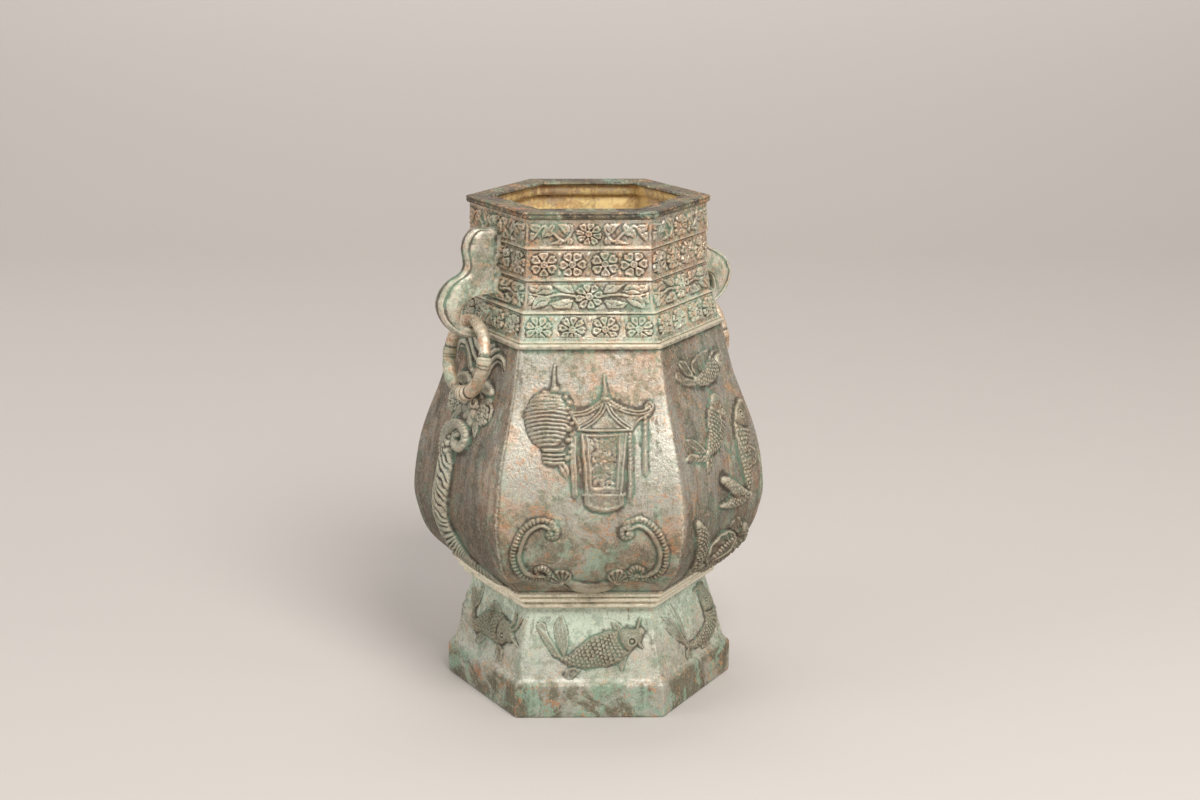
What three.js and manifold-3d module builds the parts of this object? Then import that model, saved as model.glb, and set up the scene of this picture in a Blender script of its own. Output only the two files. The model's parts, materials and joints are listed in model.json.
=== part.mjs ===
// Six-sided bronze vase: banded neck, pear-shaped belly with cast reliefs, flared foot on a plinth,
// two curled handles and the loose rings that hang in them.
// Millimetres, +Z up, origin at the centre of the foot's underside. Corners of the hexagon lie on
// +X and -X, so flat faces look to -Y (front) and +Y (back).

import * as THREE from 'three';
import { mergeVertices } from 'three/addons/utils/BufferGeometryUtils.js';
import Module from 'manifold-3d';

const wasm = await Module();
wasm.setup();

// Heights of the castings, from the ground up
const plinthHeight = 20;
const skirtHeight = 45;
const mouldingHeight = 12;
const bellyHeight = 148.5;
const neckHeight = 70.5;
const lipThickness = 4;

// Corner radii of the hexagonal outlines, and the steps from one casting to the next
const skirtTopRadius = 71.5;
const skirtFlare = 11.7;
const plinthStep = 4.5;
const mouldingReach = 12;
const bellyFootStep = 1;
const bellyBroadRadius = 107.2;
const bellyShoulderRadius = 88;
const bellyTopRadius = 80.3;
const neckStep = 2;
const neckTaper = 7.9;
const neckTopTaper = 0.9;
const lipOverhang = 3;
const lipWidth = 17;

// Levels on the belly where it is broadest, and where the shoulder bends, above the belly's foot
const broadRise = 48;
const shoulderRise = 116;

// Walls, seats and clearances
const bellyWall = 4;
const neckWall = 4;
const footWall = 4;
const ledgeDrop = 3.2;
const ledgeRound = 1.4;
const flangeHeight = 3.2;
const flangeReach = 1.4;
const spigotWall = 3;
const spigotLength = 5;
const neckBoreRise = 20;
const seatGap = 0.3;
const plateThickness = 3.2;
const plateSeat = 5;

// Ornament bands of the neck and the ridges between them
const bandCount = 4;
const ridgeHeight = 2.4;
const ridgeReach = 1.7;
const blossomsInBand = 4;
const blossomRadius = 7.4;
const blossomRise = 1.1;
const centreBlossomRadius = 7;

// Reliefs cast on the belly and the foot
const reliefRise = 1.8;
const reliefRoot = 1.6;
const lanternRise = 2.4;
const lanternDrop = 42;
const scrollRadius = 3.6;
const scrollSink = 1.6;
const ropeRadius = 6;
const ropeSink = 1.5;
const maskRise = 2.6;
const maskRadius = 17;
const maskDrop = 35;

// Handles, the rivets that hold them, and the loose rings
const handleRise = 36;
const hookReach = 16;
const hookDrop = 28.6;
const upperRivetRise = 13.5;
const lowerRivetDrop = 7.5;
const handleThickness = 7.6;
const handleBorder = 2.2;
const handleBorderRise = 0.7;
const handleBevel = 1;
const rivetRadius = 2.5;
const rivetHeadRadius = 4.5;
const rivetHeadHeight = 2.4;
const rivetDepth = 8;
const ringRadius = 21.5;
const ringTube = 3;
const ringLowerTube = 3.5;
const ringCollar = 4.3;

// Fineness of the curved shapes
const bellySteps = 20;
const reliefStep = 12;
const strandSides = 7;
const scrollSteps = 12;
const barSteps = 7;
const ropeSteps = 26;
const ringSides = 8;
const ringSteps = 40;

// Radii worked out from those steps
const skirtFootRadius = skirtTopRadius + skirtFlare;
const plinthRadius = skirtFootRadius + plinthStep;
const mouldingRadius = skirtTopRadius + mouldingReach;
const bellyFootRadius = mouldingRadius + bellyFootStep;
const neckFootRadius = bellyTopRadius - neckStep;
const neckMiddleRadius = neckFootRadius - neckTaper;
const neckTopRadius = neckMiddleRadius - neckTopTaper;
const mouthRadius = neckTopRadius + lipOverhang - lipWidth;

// Levels worked out from the heights
const skirtTop = plinthHeight + skirtHeight;
const bellyFoot = skirtTop + mouldingHeight;
const bellyTop = bellyFoot + bellyHeight;
const neckTop = bellyTop + neckHeight;

// Belly figures are drawn in hundredths of the belly's height, carp in hundredths of the skirt's.
const bellyUnit = bellyHeight / 100;
const skirtUnit = skirtHeight / 100;

const faceCount = 6;
const faceCosine = Math.cos(Math.PI / faceCount);
const frontAngle = -Math.PI / 2;
const faceStep = (2 * Math.PI) / faceCount;

// Faces are counted from the front, to the left seen from above; opposite faces are alike.
const handleFace = 2;

const cornerRun = (wall) => wall / faceCosine;

function flatPoints(pairs) {
  return pairs.map(([radius, level]) => new THREE.Vector2(radius, level));
}

function toSolid(geometry) {
  const bare = geometry.clone();
  bare.deleteAttribute('normal');
  bare.deleteAttribute('uv');
  const merged = mergeVertices(bare, 1e-4);
  const vertProperties = new Float32Array(merged.attributes.position.array);
  const triVerts = new Uint32Array(merged.index.array);
  return new wasm.Manifold(new wasm.Mesh({ numProp: 3, vertProperties, triVerts }));
}

function toGeometry(solid) {
  const mesh = solid.getMesh();
  const geometry = new THREE.BufferGeometry();
  geometry.setAttribute('position', new THREE.BufferAttribute(mesh.vertProperties, 3));
  geometry.setIndex(new THREE.BufferAttribute(mesh.triVerts, 1));
  geometry.computeVertexNormals();
  return geometry;
}

// A hexagonal ring from a closed section: outside from the bottom up, then inside from the top down.
function hexRing(section) {
  const closed = [...section, section[0]];
  const geometry = new THREE.LatheGeometry(flatPoints(closed), faceCount, Math.PI / 2);
  geometry.rotateX(Math.PI / 2);
  return geometry;
}

function radiusAt(outline, level) {
  const above = outline.findIndex(([, height]) => height >= level);
  if (above < 0) return outline[outline.length - 1][0];
  if (above === 0) return outline[0][0];
  const [lowRadius, low] = outline[above - 1];
  const [highRadius, high] = outline[above];
  return lowRadius + ((highRadius - lowRadius) * (level - low)) / (high - low);
}

// Distance from the axis to the flat of a face
const faceDistance = (outline, level) => faceCosine * radiusAt(outline, level);

// The belly's outside: a smooth curve through its foot, broadest level, shoulder and top
function bellyOutline() {
  const hip = 0.32 * broadRise;
  const curve = new THREE.SplineCurve(flatPoints([
    [bellyFootRadius, bellyFoot],
    [bellyFootRadius + 0.63 * (bellyBroadRadius - bellyFootRadius), bellyFoot + hip],
    [bellyFootRadius + 0.92 * (bellyBroadRadius - bellyFootRadius), bellyFoot + 0.66 * broadRise],
    [bellyBroadRadius, bellyFoot + broadRise],
    [bellyShoulderRadius + 0.72 * (bellyBroadRadius - bellyShoulderRadius), bellyFoot + 0.68 * shoulderRise],
    [bellyShoulderRadius, bellyFoot + shoulderRise],
    [bellyTopRadius, bellyTop - flangeHeight],
  ]));
  return curve.getPoints(bellySteps).map((point) => [point.x, point.y]);
}

// The neck's outside: bands that widen towards the foot, with a half-round ridge between two bands
function neckOutline() {
  const bandHeight = (neckHeight - (bandCount - 1) * ridgeHeight) / bandCount;
  const taper = [
    [neckFootRadius, neckMiddleRadius + 0.5 * (neckFootRadius - neckMiddleRadius)],
    [neckMiddleRadius + 0.3 * (neckFootRadius - neckMiddleRadius), neckMiddleRadius],
    [neckMiddleRadius, neckTopRadius],
    [neckTopRadius, neckTopRadius],
  ];
  const outline = [];
  taper.forEach(([lowRadius, highRadius], band) => {
    const low = bellyTop + band * (bandHeight + ridgeHeight);
    outline.push([lowRadius, low], [highRadius, low + bandHeight]);
    if (band < bandCount - 1) {
      const crest = 0.5 * (highRadius + taper[band + 1][0]) + ridgeReach;
      outline.push([crest, low + bandHeight + 0.3 * ridgeHeight]);
      outline.push([crest, low + bandHeight + 0.7 * ridgeHeight]);
    }
  });
  return outline;
}

// The foot's outside: upright plinth, sloping ledge with a rounded edge, flared skirt
function footOutline() {
  return [
    [plinthRadius, 0],
    [plinthRadius, plinthHeight],
    [plinthRadius - ledgeRound, plinthHeight + 0.5 * ledgeDrop],
    [skirtFootRadius, plinthHeight + ledgeDrop],
    [skirtTopRadius, skirtTop],
  ];
}

const bellySkin = bellyOutline();
const neckSkin = neckOutline();
const footSkin = footOutline();

function inward(outline, wall) {
  return outline.map(([radius, level]) => [radius - cornerRun(wall), level]).reverse();
}

// Bends a flat relief on to a face: x runs along the face, y is the level, z stands off the wall.
function bendOnFace(geometry, outline, faceAngle) {
  const bent = geometry.clone();
  const position = bent.attributes.position;
  const outX = Math.cos(faceAngle);
  const outY = Math.sin(faceAngle);
  for (let i = 0; i < position.count; i += 1) {
    const along = position.getX(i);
    const level = position.getY(i);
    const out = faceDistance(outline, level) + position.getZ(i);
    position.setXYZ(i, outX * out - outY * along, outY * out + outX * along, level);
  }
  return bent;
}

// Adds points along the straight sides of an outline, so that the relief can follow the curved wall.
function withSteps(points, step) {
  const dense = [];
  points.forEach((point, index) => {
    const next = points[(index + 1) % points.length];
    const parts = Math.max(1, Math.round(point.distanceTo(next) / step));
    for (let part = 0; part < parts; part += 1) {
      dense.push(point.clone().lerp(next, part / parts));
    }
  });
  return dense;
}

// A flat-topped relief with a sloped edge, from a closed outline
function plateRelief(points, rise, edge) {
  const geometry = new THREE.ExtrudeGeometry(new THREE.Shape(withSteps(points, reliefStep)), {
    depth: rise + reliefRoot - edge,
    bevelEnabled: edge > 0,
    bevelThickness: edge,
    bevelSize: edge,
    bevelOffset: -edge,
    bevelSegments: 1,
  });
  geometry.translate(0, 0, -reliefRoot);
  return geometry;
}

// A rounded relief that follows a path on the face, its middle sunk a little below the wall's skin
function strandRelief(points, radius, sink, steps) {
  const path = new THREE.CatmullRomCurve3(points.map(([x, y]) => new THREE.Vector3(x, y, -sink)));
  const section = new THREE.Shape(ellipsePoints(0, 0, radius, radius, strandSides));
  return new THREE.ExtrudeGeometry(section, { steps, extrudePath: path });
}

function ellipsePoints(x, y, halfWidth, halfHeight, count) {
  return Array.from({ length: count }, (_, i) => {
    const turn = (i / count) * 2 * Math.PI;
    return new THREE.Vector2(x + halfWidth * Math.cos(turn), y + halfHeight * Math.sin(turn));
  });
}

// A fish seen from the side: half widths along a bent spine from the tail's root to the mouth,
// and a forked tail behind. Its place is the middle of the spine, where it has its heading; its sizes
// are in the unit given, and its height is counted from the level given.
function fishPoints(fish, unit, level) {
  const [x, length, depth] = [fish.x, fish.length, fish.depth].map((size) => size * unit);
  const y = level + fish.y * unit;
  const { heading, bend } = fish;
  const tailShare = 0.28;
  const widths = [0.26, 0.62, 0.92, 1, 0.92, 0.64];
  const curvature = bend / length;
  const onSpine = (share, offset) => {
    const run = (share - 0.5) * length;
    const along = Math.sin(curvature * run) / curvature;
    const across = (1 - Math.cos(curvature * run)) / curvature;
    const turn = heading + curvature * run;
    return new THREE.Vector2(
      x + along * Math.cos(heading) - across * Math.sin(heading) - offset * Math.sin(turn),
      y + along * Math.sin(heading) + across * Math.cos(heading) + offset * Math.cos(turn),
    );
  };
  const side = (sign) => widths.map((width, i) => {
    const share = tailShare + ((1 - tailShare) * i) / widths.length;
    return onSpine(share, sign * width * 0.5 * depth);
  });
  const tail = [onSpine(0.02, 0.5 * depth), onSpine(0.13, 0.02 * depth), onSpine(0, -0.42 * depth)];
  return [...side(-1), onSpine(1, 0), ...side(1).reverse(), ...tail];
}

function blossomPoints(x, y, radius) {
  const petals = 6;
  return Array.from({ length: 2 * petals }, (_, i) => {
    const reach = i % 2 ? 0.66 * radius : radius;
    const turn = (i / (2 * petals)) * 2 * Math.PI + Math.PI / 2;
    return new THREE.Vector2(x + reach * Math.cos(turn), y + reach * Math.sin(turn));
  });
}

// Lantern pair on the front and back: a round ribbed lantern and a six-sided one with a flared roof
function lanternReliefs() {
  const level = bellyTop - lanternDrop;
  const polygon = (pairs) => pairs.map(([x, y]) => new THREE.Vector2(bellyUnit * x, level + bellyUnit * y));
  const round = { x: -15.8 * bellyUnit, halfWidth: 8.5 * bellyUnit, halfHeight: 10.5 * bellyUnit };
  return [
    plateRelief(ellipsePoints(round.x, level, round.halfWidth, round.halfHeight, 14), lanternRise, 1.4),
    plateRelief(polygon([[-17.5, -16.2], [-9.4, -16.2], [-9.4, -9.4], [-17.5, -9.4]]), reliefRise, 0.6),
    plateRelief(polygon([[-14.5, 9.4], [-12.3, 9.4], [-12.8, 19.5], [-13.9, 19.5]]), reliefRise, 0.5),
    plateRelief(polygon([[-3.4, -3.7], [0.5, -26.3], [11, -26.3], [15.1, -3.7]]), reliefRise, 0.7),
    plateRelief(polygon([
      [-6.1, 2], [-4, -4.4], [16.2, -4.4], [18.9, -0.7], [24, 3.1], [21.5, 4.7], [14.8, 3.7], [9.4, 7.7],
      [6.5, 7], [2, 7.7], [-2, 3],
    ]), reliefRise, 0.8),
    plateRelief(polygon([[4.6, 7.1], [7.1, 7.1], [6.3, 16.2], [5.4, 16.2]]), reliefRise, 0.5),
    plateRelief(polygon([
      [-2.3, -26.6], [-1.3, -31], [6.1, -33], [12.8, -31], [13.7, -26.6],
    ]), reliefRise, 0.7),
  ];
}

// Scroll cartouche below the lanterns: two facing C scrolls joined by a sagging bar
function cartoucheReliefs() {
  const half = [
    [-14.1, 31.6], [-18.9, 33], [-24.2, 29.3], [-27.6, 20.9], [-25.9, 13.1], [-21.5, 9.8], [-16.2, 10.8],
  ];
  const bar = [[-10.1, 9.4], [-7.4, 5.1], [0, 3.1], [7.4, 5.1], [10.1, 9.4]];
  const onBelly = (pairs, sign) => pairs.map(([x, y]) => [sign * bellyUnit * x, bellyFoot + bellyUnit * y]);
  const strand = (pairs, sign, steps) => strandRelief(onBelly(pairs, sign), scrollRadius, scrollSink, steps);
  return [strand(half, 1, scrollSteps), strand(half, -1, scrollSteps), strand(bar, 1, barSteps)];
}

// Rope scroll and ring mask on the faces that carry the handles
function ropeReliefs() {
  const path = [
    [-6.7, 56.6], [-4.4, 59.3], [-6.7, 62.6], [-10.8, 62.3], [-13.8, 58.9], [-12.8, 54.5], [-9.1, 50.5],
    [-8.1, 44.4], [-10.1, 36.4], [-11.4, 28.3], [-10.8, 21.5], [-7.4, 16.2], [-3.4, 11.4], [1.3, 7.4],
    [8.1, 4],
  ];
  const onBelly = path.map(([x, y]) => [bellyUnit * x, bellyFoot + bellyUnit * y]);
  return [
    strandRelief(onBelly, ropeRadius, ropeSink, ropeSteps),
    plateRelief(ellipsePoints(0, bellyTop - maskDrop, maskRadius, 0.95 * maskRadius, 14), maskRise, 1.4),
  ];
}

// Shoal of fish on the other two faces
function shoalReliefs() {
  const shoal = [
    { x: 2, y: 80.1, length: 36.4, depth: 8.8, heading: 0.12, bend: 1.5 },
    { x: -3.4, y: 59.9, length: 40.4, depth: 10.1, heading: 0.5, bend: 1.1 },
    { x: 24.2, y: 51.2, length: 31, depth: 8.1, heading: 1.2, bend: 0.4 },
    { x: 8.8, y: 34.3, length: 28.3, depth: 8.1, heading: 2.5, bend: 1.3 },
    { x: -18.2, y: 20.9, length: 29.6, depth: 7.4, heading: 1.6, bend: -0.5 },
    { x: 8.8, y: 13.5, length: 36.4, depth: 11.4, heading: 0.3, bend: 1.1 },
  ];
  return shoal.map((fish) => plateRelief(fishPoints(fish, bellyUnit, bellyFoot), reliefRise, 0.7));
}

// One carp on each face of the foot, in three postures
function carpRelief(face) {
  const postures = [
    { x: -4.4, y: 37.8, length: 164.4, depth: 37.8, heading: -0.12, bend: 1.5 },
    { x: 8.9, y: 30, length: 173.3, depth: 37.8, heading: 0.1, bend: 2.2 },
    { x: -4.4, y: 40, length: 146.7, depth: 37.8, heading: -0.1, bend: 1.3 },
  ];
  return plateRelief(fishPoints(postures[face % 3], skirtUnit, plinthHeight), reliefRise, 0.8);
}

// Six-petalled blossoms: rows of them in the second and fourth band, one in the middle of the others
function blossomReliefs() {
  const bandHeight = (neckHeight - (bandCount - 1) * ridgeHeight) / bandCount;
  const reliefs = [];
  for (let band = 0; band < bandCount; band += 1) {
    const level = bellyTop + band * (bandHeight + ridgeHeight) + 0.5 * bandHeight;
    const inRow = band % 2 === 0 ? blossomsInBand : 1;
    const pitch = radiusAt(neckSkin, level) / blossomsInBand;
    const reach = Math.min(inRow > 1 ? blossomRadius : centreBlossomRadius, 0.48 * bandHeight, 0.48 * pitch);
    for (let i = 0; i < inRow; i += 1) {
      const x = (i - 0.5 * (inRow - 1)) * pitch;
      reliefs.push(plateRelief(blossomPoints(x, level, reach), blossomRise, 0));
    }
  }
  return reliefs;
}

// Space kept free of ornament where a handle seats on the neck
function handleSeatSpace(faceAngle) {
  const width = handleThickness + 2 * (handleBorderRise + seatGap);
  const geometry = new THREE.BoxGeometry(2 * neckFootRadius, width, neckHeight);
  geometry.translate(neckFootRadius, 0, bellyTop + 0.5 * neckHeight);
  return toSolid(geometry.rotateZ(faceAngle));
}

function castWithReliefs(wallGeometry, outline, reliefsOfFace, keptFree) {
  let casting = toSolid(wallGeometry);
  for (let face = 0; face < faceCount; face += 1) {
    const faceAngle = frontAngle + face * faceStep;
    for (const relief of reliefsOfFace(face)) {
      let raised = toSolid(bendOnFace(relief, outline, faceAngle));
      if (keptFree && face % 3 === handleFace) raised = raised.subtract(keptFree(faceAngle));
      casting = casting.add(raised);
    }
  }
  return casting;
}

// Mouth rim: a flat hexagonal flange with a spigot that drops into the neck
const neckBore = neckTopRadius - cornerRun(neckWall);
function lipGeometry() {
  const spigotOuter = neckBore - cornerRun(seatGap);
  const spigotInner = spigotOuter - cornerRun(spigotWall);
  return hexRing([
    [spigotOuter, neckTop - spigotLength],
    [spigotOuter, neckTop],
    [neckTopRadius + lipOverhang, neckTop],
    [neckTopRadius + lipOverhang, neckTop + lipThickness],
    [mouthRadius, neckTop + lipThickness],
    [mouthRadius, neckTop],
    [spigotInner, neckTop],
    [spigotInner, neckTop - spigotLength],
  ]);
}

const bellyBore = bellyTopRadius + flangeReach - cornerRun(bellyWall);
function neckSolid() {
  const spigotOuter = Math.min(bellyBore - cornerRun(seatGap), neckFootRadius - 1);
  const spigotInner = spigotOuter - cornerRun(spigotWall);
  const seam = bellyTop + seatGap;
  const outside = neckSkin.map(([radius, level], i) => [radius, i === 0 ? seam : level]);
  outside[outside.length - 1][1] = neckTop - seatGap;
  const wall = hexRing([
    [spigotOuter, bellyTop - spigotLength],
    [spigotOuter, seam],
    ...outside,
    [neckBore, neckTop - seatGap],
    [neckBore, bellyTop + neckBoreRise],
    [spigotInner, bellyTop + spigotLength],
    [spigotInner, bellyTop - spigotLength],
  ]);
  return castWithReliefs(wall, neckSkin, blossomReliefs, handleSeatSpace);
}

const mouldingBore = skirtTopRadius - cornerRun(footWall) + 3;
const plateLevel = skirtTop + plateSeat;
function bellySolid() {
  const flangeRadius = bellyTopRadius + flangeReach;
  const spigotOuter = mouldingBore + plateSeat - cornerRun(seatGap);
  const spigotInner = spigotOuter - cornerRun(spigotWall);
  const spigotFoot = plateLevel + plateThickness + seatGap;
  const seam = bellyFoot + seatGap;
  const outside = bellySkin.map(([radius, level], i) => [radius, i === 0 ? seam : level]);
  const inside = inward(bellySkin, bellyWall).slice(1, -2);
  const wall = hexRing([
    [spigotOuter, spigotFoot],
    [spigotOuter, seam],
    ...outside,
    [flangeRadius, bellyTop - 0.75 * flangeHeight],
    [flangeRadius, bellyTop],
    [bellyBore, bellyTop],
    [bellyBore, bellyTop - spigotLength - seatGap],
    ...inside.filter(([, level]) => level < bellyTop - spigotLength - 2),
    [spigotInner, bellyFoot + bellyWall],
    [spigotInner, spigotFoot],
  ]);
  const ornaments = [lanternReliefs().concat(cartoucheReliefs()), shoalReliefs(), ropeReliefs()];
  return castWithReliefs(wall, bellySkin, (face) => ornaments[face % 3]);
}

// Waist ring with three ridges; its stepped bore seats the base plate and the belly's spigot
function mouldingGeometry() {
  const upperBore = mouldingBore + plateSeat;
  const level = (share) => skirtTop + seatGap + share * (mouldingHeight - seatGap);
  const lowerRidge = skirtTopRadius + 0.52 * (mouldingRadius - skirtTopRadius);
  const middleRidge = skirtTopRadius + 0.79 * (mouldingRadius - skirtTopRadius);
  return hexRing([
    [mouldingBore, level(0)],
    [skirtTopRadius + 1, level(0)],
    [lowerRidge, level(0.1)],
    [lowerRidge, level(0.25)],
    [lowerRidge - 1.6, level(0.36)],
    [middleRidge, level(0.44)],
    [middleRidge, level(0.58)],
    [middleRidge - 1.6, level(0.68)],
    [mouldingRadius, level(0.76)],
    [mouldingRadius, level(1)],
    [upperBore, level(1)],
    [upperBore, plateLevel],
    [mouldingBore, plateLevel],
  ]);
}

function plateGeometry() {
  const radius = mouldingBore + plateSeat - cornerRun(seatGap);
  const turn = Math.PI / 2;
  const geometry = new THREE.CylinderGeometry(radius, radius, plateThickness, faceCount, 1, false, turn);
  geometry.rotateX(Math.PI / 2);
  geometry.translate(0, 0, plateLevel + 0.5 * plateThickness + 0.5 * seatGap);
  return geometry;
}

function footSolid() {
  const spigotOuter = mouldingBore - cornerRun(seatGap);
  const spigotInner = spigotOuter - cornerRun(spigotWall);
  const spigotTop = plateLevel - seatGap;
  const wall = hexRing([
    ...footSkin,
    [spigotOuter, skirtTop],
    [spigotOuter, spigotTop],
    [spigotInner, spigotTop],
    [spigotInner, skirtTop - footWall],
    [skirtTopRadius - cornerRun(footWall), skirtTop - footWall],
    [skirtFootRadius - cornerRun(footWall), plinthHeight],
    [plinthRadius - cornerRun(footWall), plinthHeight - footWall],
    [plinthRadius - cornerRun(footWall), 0],
  ]);
  return castWithReliefs(wall, footSkin, (face) => [carpRelief(face)]);
}

// Handle: a lobed scroll whose lower end curls back like a trunk into an open hook.
// Its outline is counted from the anchor: x outwards in hundredths of the hook's reach, y upwards in
// hundredths of the neck's height.
const handleLevel = bellyTop + handleRise;
const handleAnchor = new THREE.Vector2(faceDistance(neckSkin, handleLevel), handleLevel);
const trunkBack = [
  [50, 33.5], [96.9, 36.3], [128.8, 30.6], [143.8, 21.3], [140, 11.3], [135, 4.3], [153.8, -1.1],
  [193.8, -5.1], [228.8, -11.3], [247.5, -21.3], [241.2, -32.6], [216.2, -42.6], [175, -50.5],
  [131.2, -54.8], [96.2, -54.5], [77.5, -51.1], [75, -46.2],
];
const trunkInside = [
  [83.8, -44.5], [98.8, -45.8], [122.5, -45.4], [145, -43.4], [158.8, -38.3], [157.5, -30.6], [141.2, -23.5],
  [103.8, -19], [60, -17.9], [31.2, -19],
];
const backSteps = 32;
const insideSteps = 14;

function splinePoints(pairs, count) {
  const places = pairs.map(([x, y]) => [(x * hookReach) / 100, (y * neckHeight) / 100]);
  return new THREE.SplineCurve(flatPoints(places)).getPoints(count);
}

function handleSection() {
  const free = [...splinePoints(trunkBack, backSteps), ...splinePoints(trunkInside, insideSteps)];
  const outer = free.map((point) => point.clone().add(handleAnchor));
  const low = outer[outer.length - 1].y;
  const high = outer[0].y;
  const seat = neckSkin
    .filter(([, level]) => level > low + 0.8 && level < high - 0.8)
    .map(([radius, level]) => new THREE.Vector2(faceCosine * radius + seatGap, level));
  const ends = [low, high].map((level) => new THREE.Vector2(faceDistance(neckSkin, level) + seatGap, level));
  return [...outer, ends[0], ...seat, ends[1]];
}

function extrudeAcross(points, thickness, bevel) {
  const geometry = new THREE.ExtrudeGeometry(new THREE.Shape(points), {
    depth: thickness - 2 * bevel,
    bevelEnabled: bevel > 0,
    bevelThickness: bevel,
    bevelSize: bevel,
    bevelOffset: -bevel,
    bevelSegments: 1,
  });
  geometry.translate(0, 0, -0.5 * thickness + bevel);
  geometry.rotateX(Math.PI / 2);
  return geometry;
}

const rivetLevels = [handleLevel + upperRivetRise, handleLevel - lowerRivetDrop];

// A round bore square to a face: from and to are distances from the vase's axis.
function boreThroughFace(from, to, level, faceAngle) {
  const radius = rivetRadius + seatGap;
  const geometry = new THREE.CylinderGeometry(radius, radius, to - from, 16);
  geometry.rotateZ(Math.PI / 2);
  geometry.translate(0.5 * (from + to), 0, level);
  geometry.rotateZ(faceAngle);
  return toSolid(geometry);
}

// Raised line along the back of the scroll, on both sides of the handle
function borderPoints() {
  const whole = splinePoints(trunkBack, backSteps).map((point) => point.add(handleAnchor));
  const back = whole.slice(2, backSteps - 1);
  const inner = back.map((point, i) => {
    const before = back[Math.max(0, i - 1)];
    const after = back[Math.min(back.length - 1, i + 1)];
    const along = after.clone().sub(before).normalize();
    return new THREE.Vector2(point.x + handleBorder * along.y, point.y - handleBorder * along.x);
  });
  const edge = 0.35;
  const outer = back.map((point, i) => point.clone().lerp(inner[i], edge / handleBorder));
  return [...outer, ...inner.reverse()];
}

function handleSolid() {
  let handle = toSolid(extrudeAcross(handleSection(), handleThickness, handleBevel));
  handle = handle.add(toSolid(extrudeAcross(borderPoints(), handleThickness + 2 * handleBorderRise, 0)));
  for (const level of rivetLevels) {
    const face = faceDistance(neckSkin, level);
    handle = handle.subtract(boreThroughFace(face - 1, face + rivetDepth + 2 * seatGap, level, 0));
  }
  return handle;
}

// Rivet: domed head inside the neck, shank through the wall into the handle
function rivetGeometry(level) {
  const inner = faceCosine * neckInsideRadius(level) - seatGap;
  const tip = faceDistance(neckSkin, level) + rivetDepth;
  const section = [
    [0.001, 0], [0.7 * rivetHeadRadius, 0.15 * rivetHeadHeight], [rivetHeadRadius, 0.6 * rivetHeadHeight],
    [rivetHeadRadius, rivetHeadHeight], [rivetRadius, rivetHeadHeight],
    [rivetRadius, rivetHeadHeight + tip - inner - 0.6], [rivetRadius - 0.6, rivetHeadHeight + tip - inner],
    [0.001, rivetHeadHeight + tip - inner],
  ];
  const geometry = new THREE.LatheGeometry(flatPoints([...section, section[0]]), 12);
  geometry.rotateZ(-Math.PI / 2);
  geometry.translate(inner - rivetHeadHeight, 0, level);
  return geometry;
}

function neckInsideRadius(level) {
  const spigotInner = Math.min(bellyBore - cornerRun(seatGap), neckFootRadius - 1) - cornerRun(spigotWall);
  return radiusAt([
    [spigotInner, bellyTop + spigotLength],
    [neckBore, bellyTop + neckBoreRise],
    [neckBore, neckTop],
  ], level);
}

// Ring: thin where it runs in the hook, a collar on each arm, stouter below
function ringGeometry() {
  const geometry = new THREE.TorusGeometry(ringRadius, ringTube, ringSides, ringSteps);
  const position = geometry.attributes.position;
  const point = new THREE.Vector3();
  for (let i = 0; i < position.count; i += 1) {
    point.fromBufferAttribute(position, i);
    const turn = Math.atan2(point.y, point.x);
    const centre = new THREE.Vector3(ringRadius * Math.cos(turn), ringRadius * Math.sin(turn), 0);
    const degrees = THREE.MathUtils.radToDeg(Math.asin(Math.sin(turn)));
    let tube = degrees > 0 ? ringTube : ringLowerTube;
    if (Math.abs(degrees) < 6) tube = ringCollar;
    point.sub(centre).multiplyScalar(tube / ringTube).add(centre);
    position.setXYZ(i, point.x, point.y, point.z);
  }
  return geometry;
}

// The ring hangs from the hook and leans out until its lower edge rests on the mask.
const hinge = handleAnchor.clone().add(new THREE.Vector2(hookReach, -hookDrop));
function ringLean() {
  const step = THREE.MathUtils.degToRad(0.1);
  const clearance = (lean, side) => {
    const out = hinge.x + 2 * ringRadius * Math.sin(lean) - ringLowerTube * Math.cos(side);
    const level = hinge.y - 2 * ringRadius * Math.cos(lean) - ringLowerTube * Math.sin(side);
    return out - seatGap - maskRise - faceDistance(bellySkin, level);
  };
  const tight = (lean) => [0, 0.15, 0.3, 0.45, 0.6].some((side) => clearance(lean, side) < 0);
  let lean = 0;
  while (tight(lean)) lean += step;
  return lean;
}

// Colours of the worn, patinated bronze
const bronze = (color, roughness) => new THREE.MeshStandardMaterial({ color, roughness, metalness: 0.55 });
const neckBronze = bronze(0x9b9281, 0.62);
const bellyBronze = bronze(0x8c8b7d, 0.58);
const footBronze = bronze(0x84958a, 0.66);
const fittingBronze = bronze(0x8f8f80, 0.5);
const innerBronze = bronze(0xa98c55, 0.7);

function piece(name, geometry, material) {
  const mesh = new THREE.Mesh(geometry, material);
  mesh.name = name;
  return mesh;
}

function drilledNeck() {
  let neck = neckSolid();
  for (const side of sides) {
    for (const level of rivetLevels) {
      const from = faceCosine * neckInsideRadius(level) - neckWall;
      const to = faceDistance(neckSkin, level) + neckWall;
      neck = neck.subtract(boreThroughFace(from, to, level, side.angle));
    }
  }
  return neck;
}

const sides = [
  { name: 'left', angle: Math.PI + Math.PI / 6 },
  { name: 'right', angle: Math.PI / 6 },
];

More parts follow.
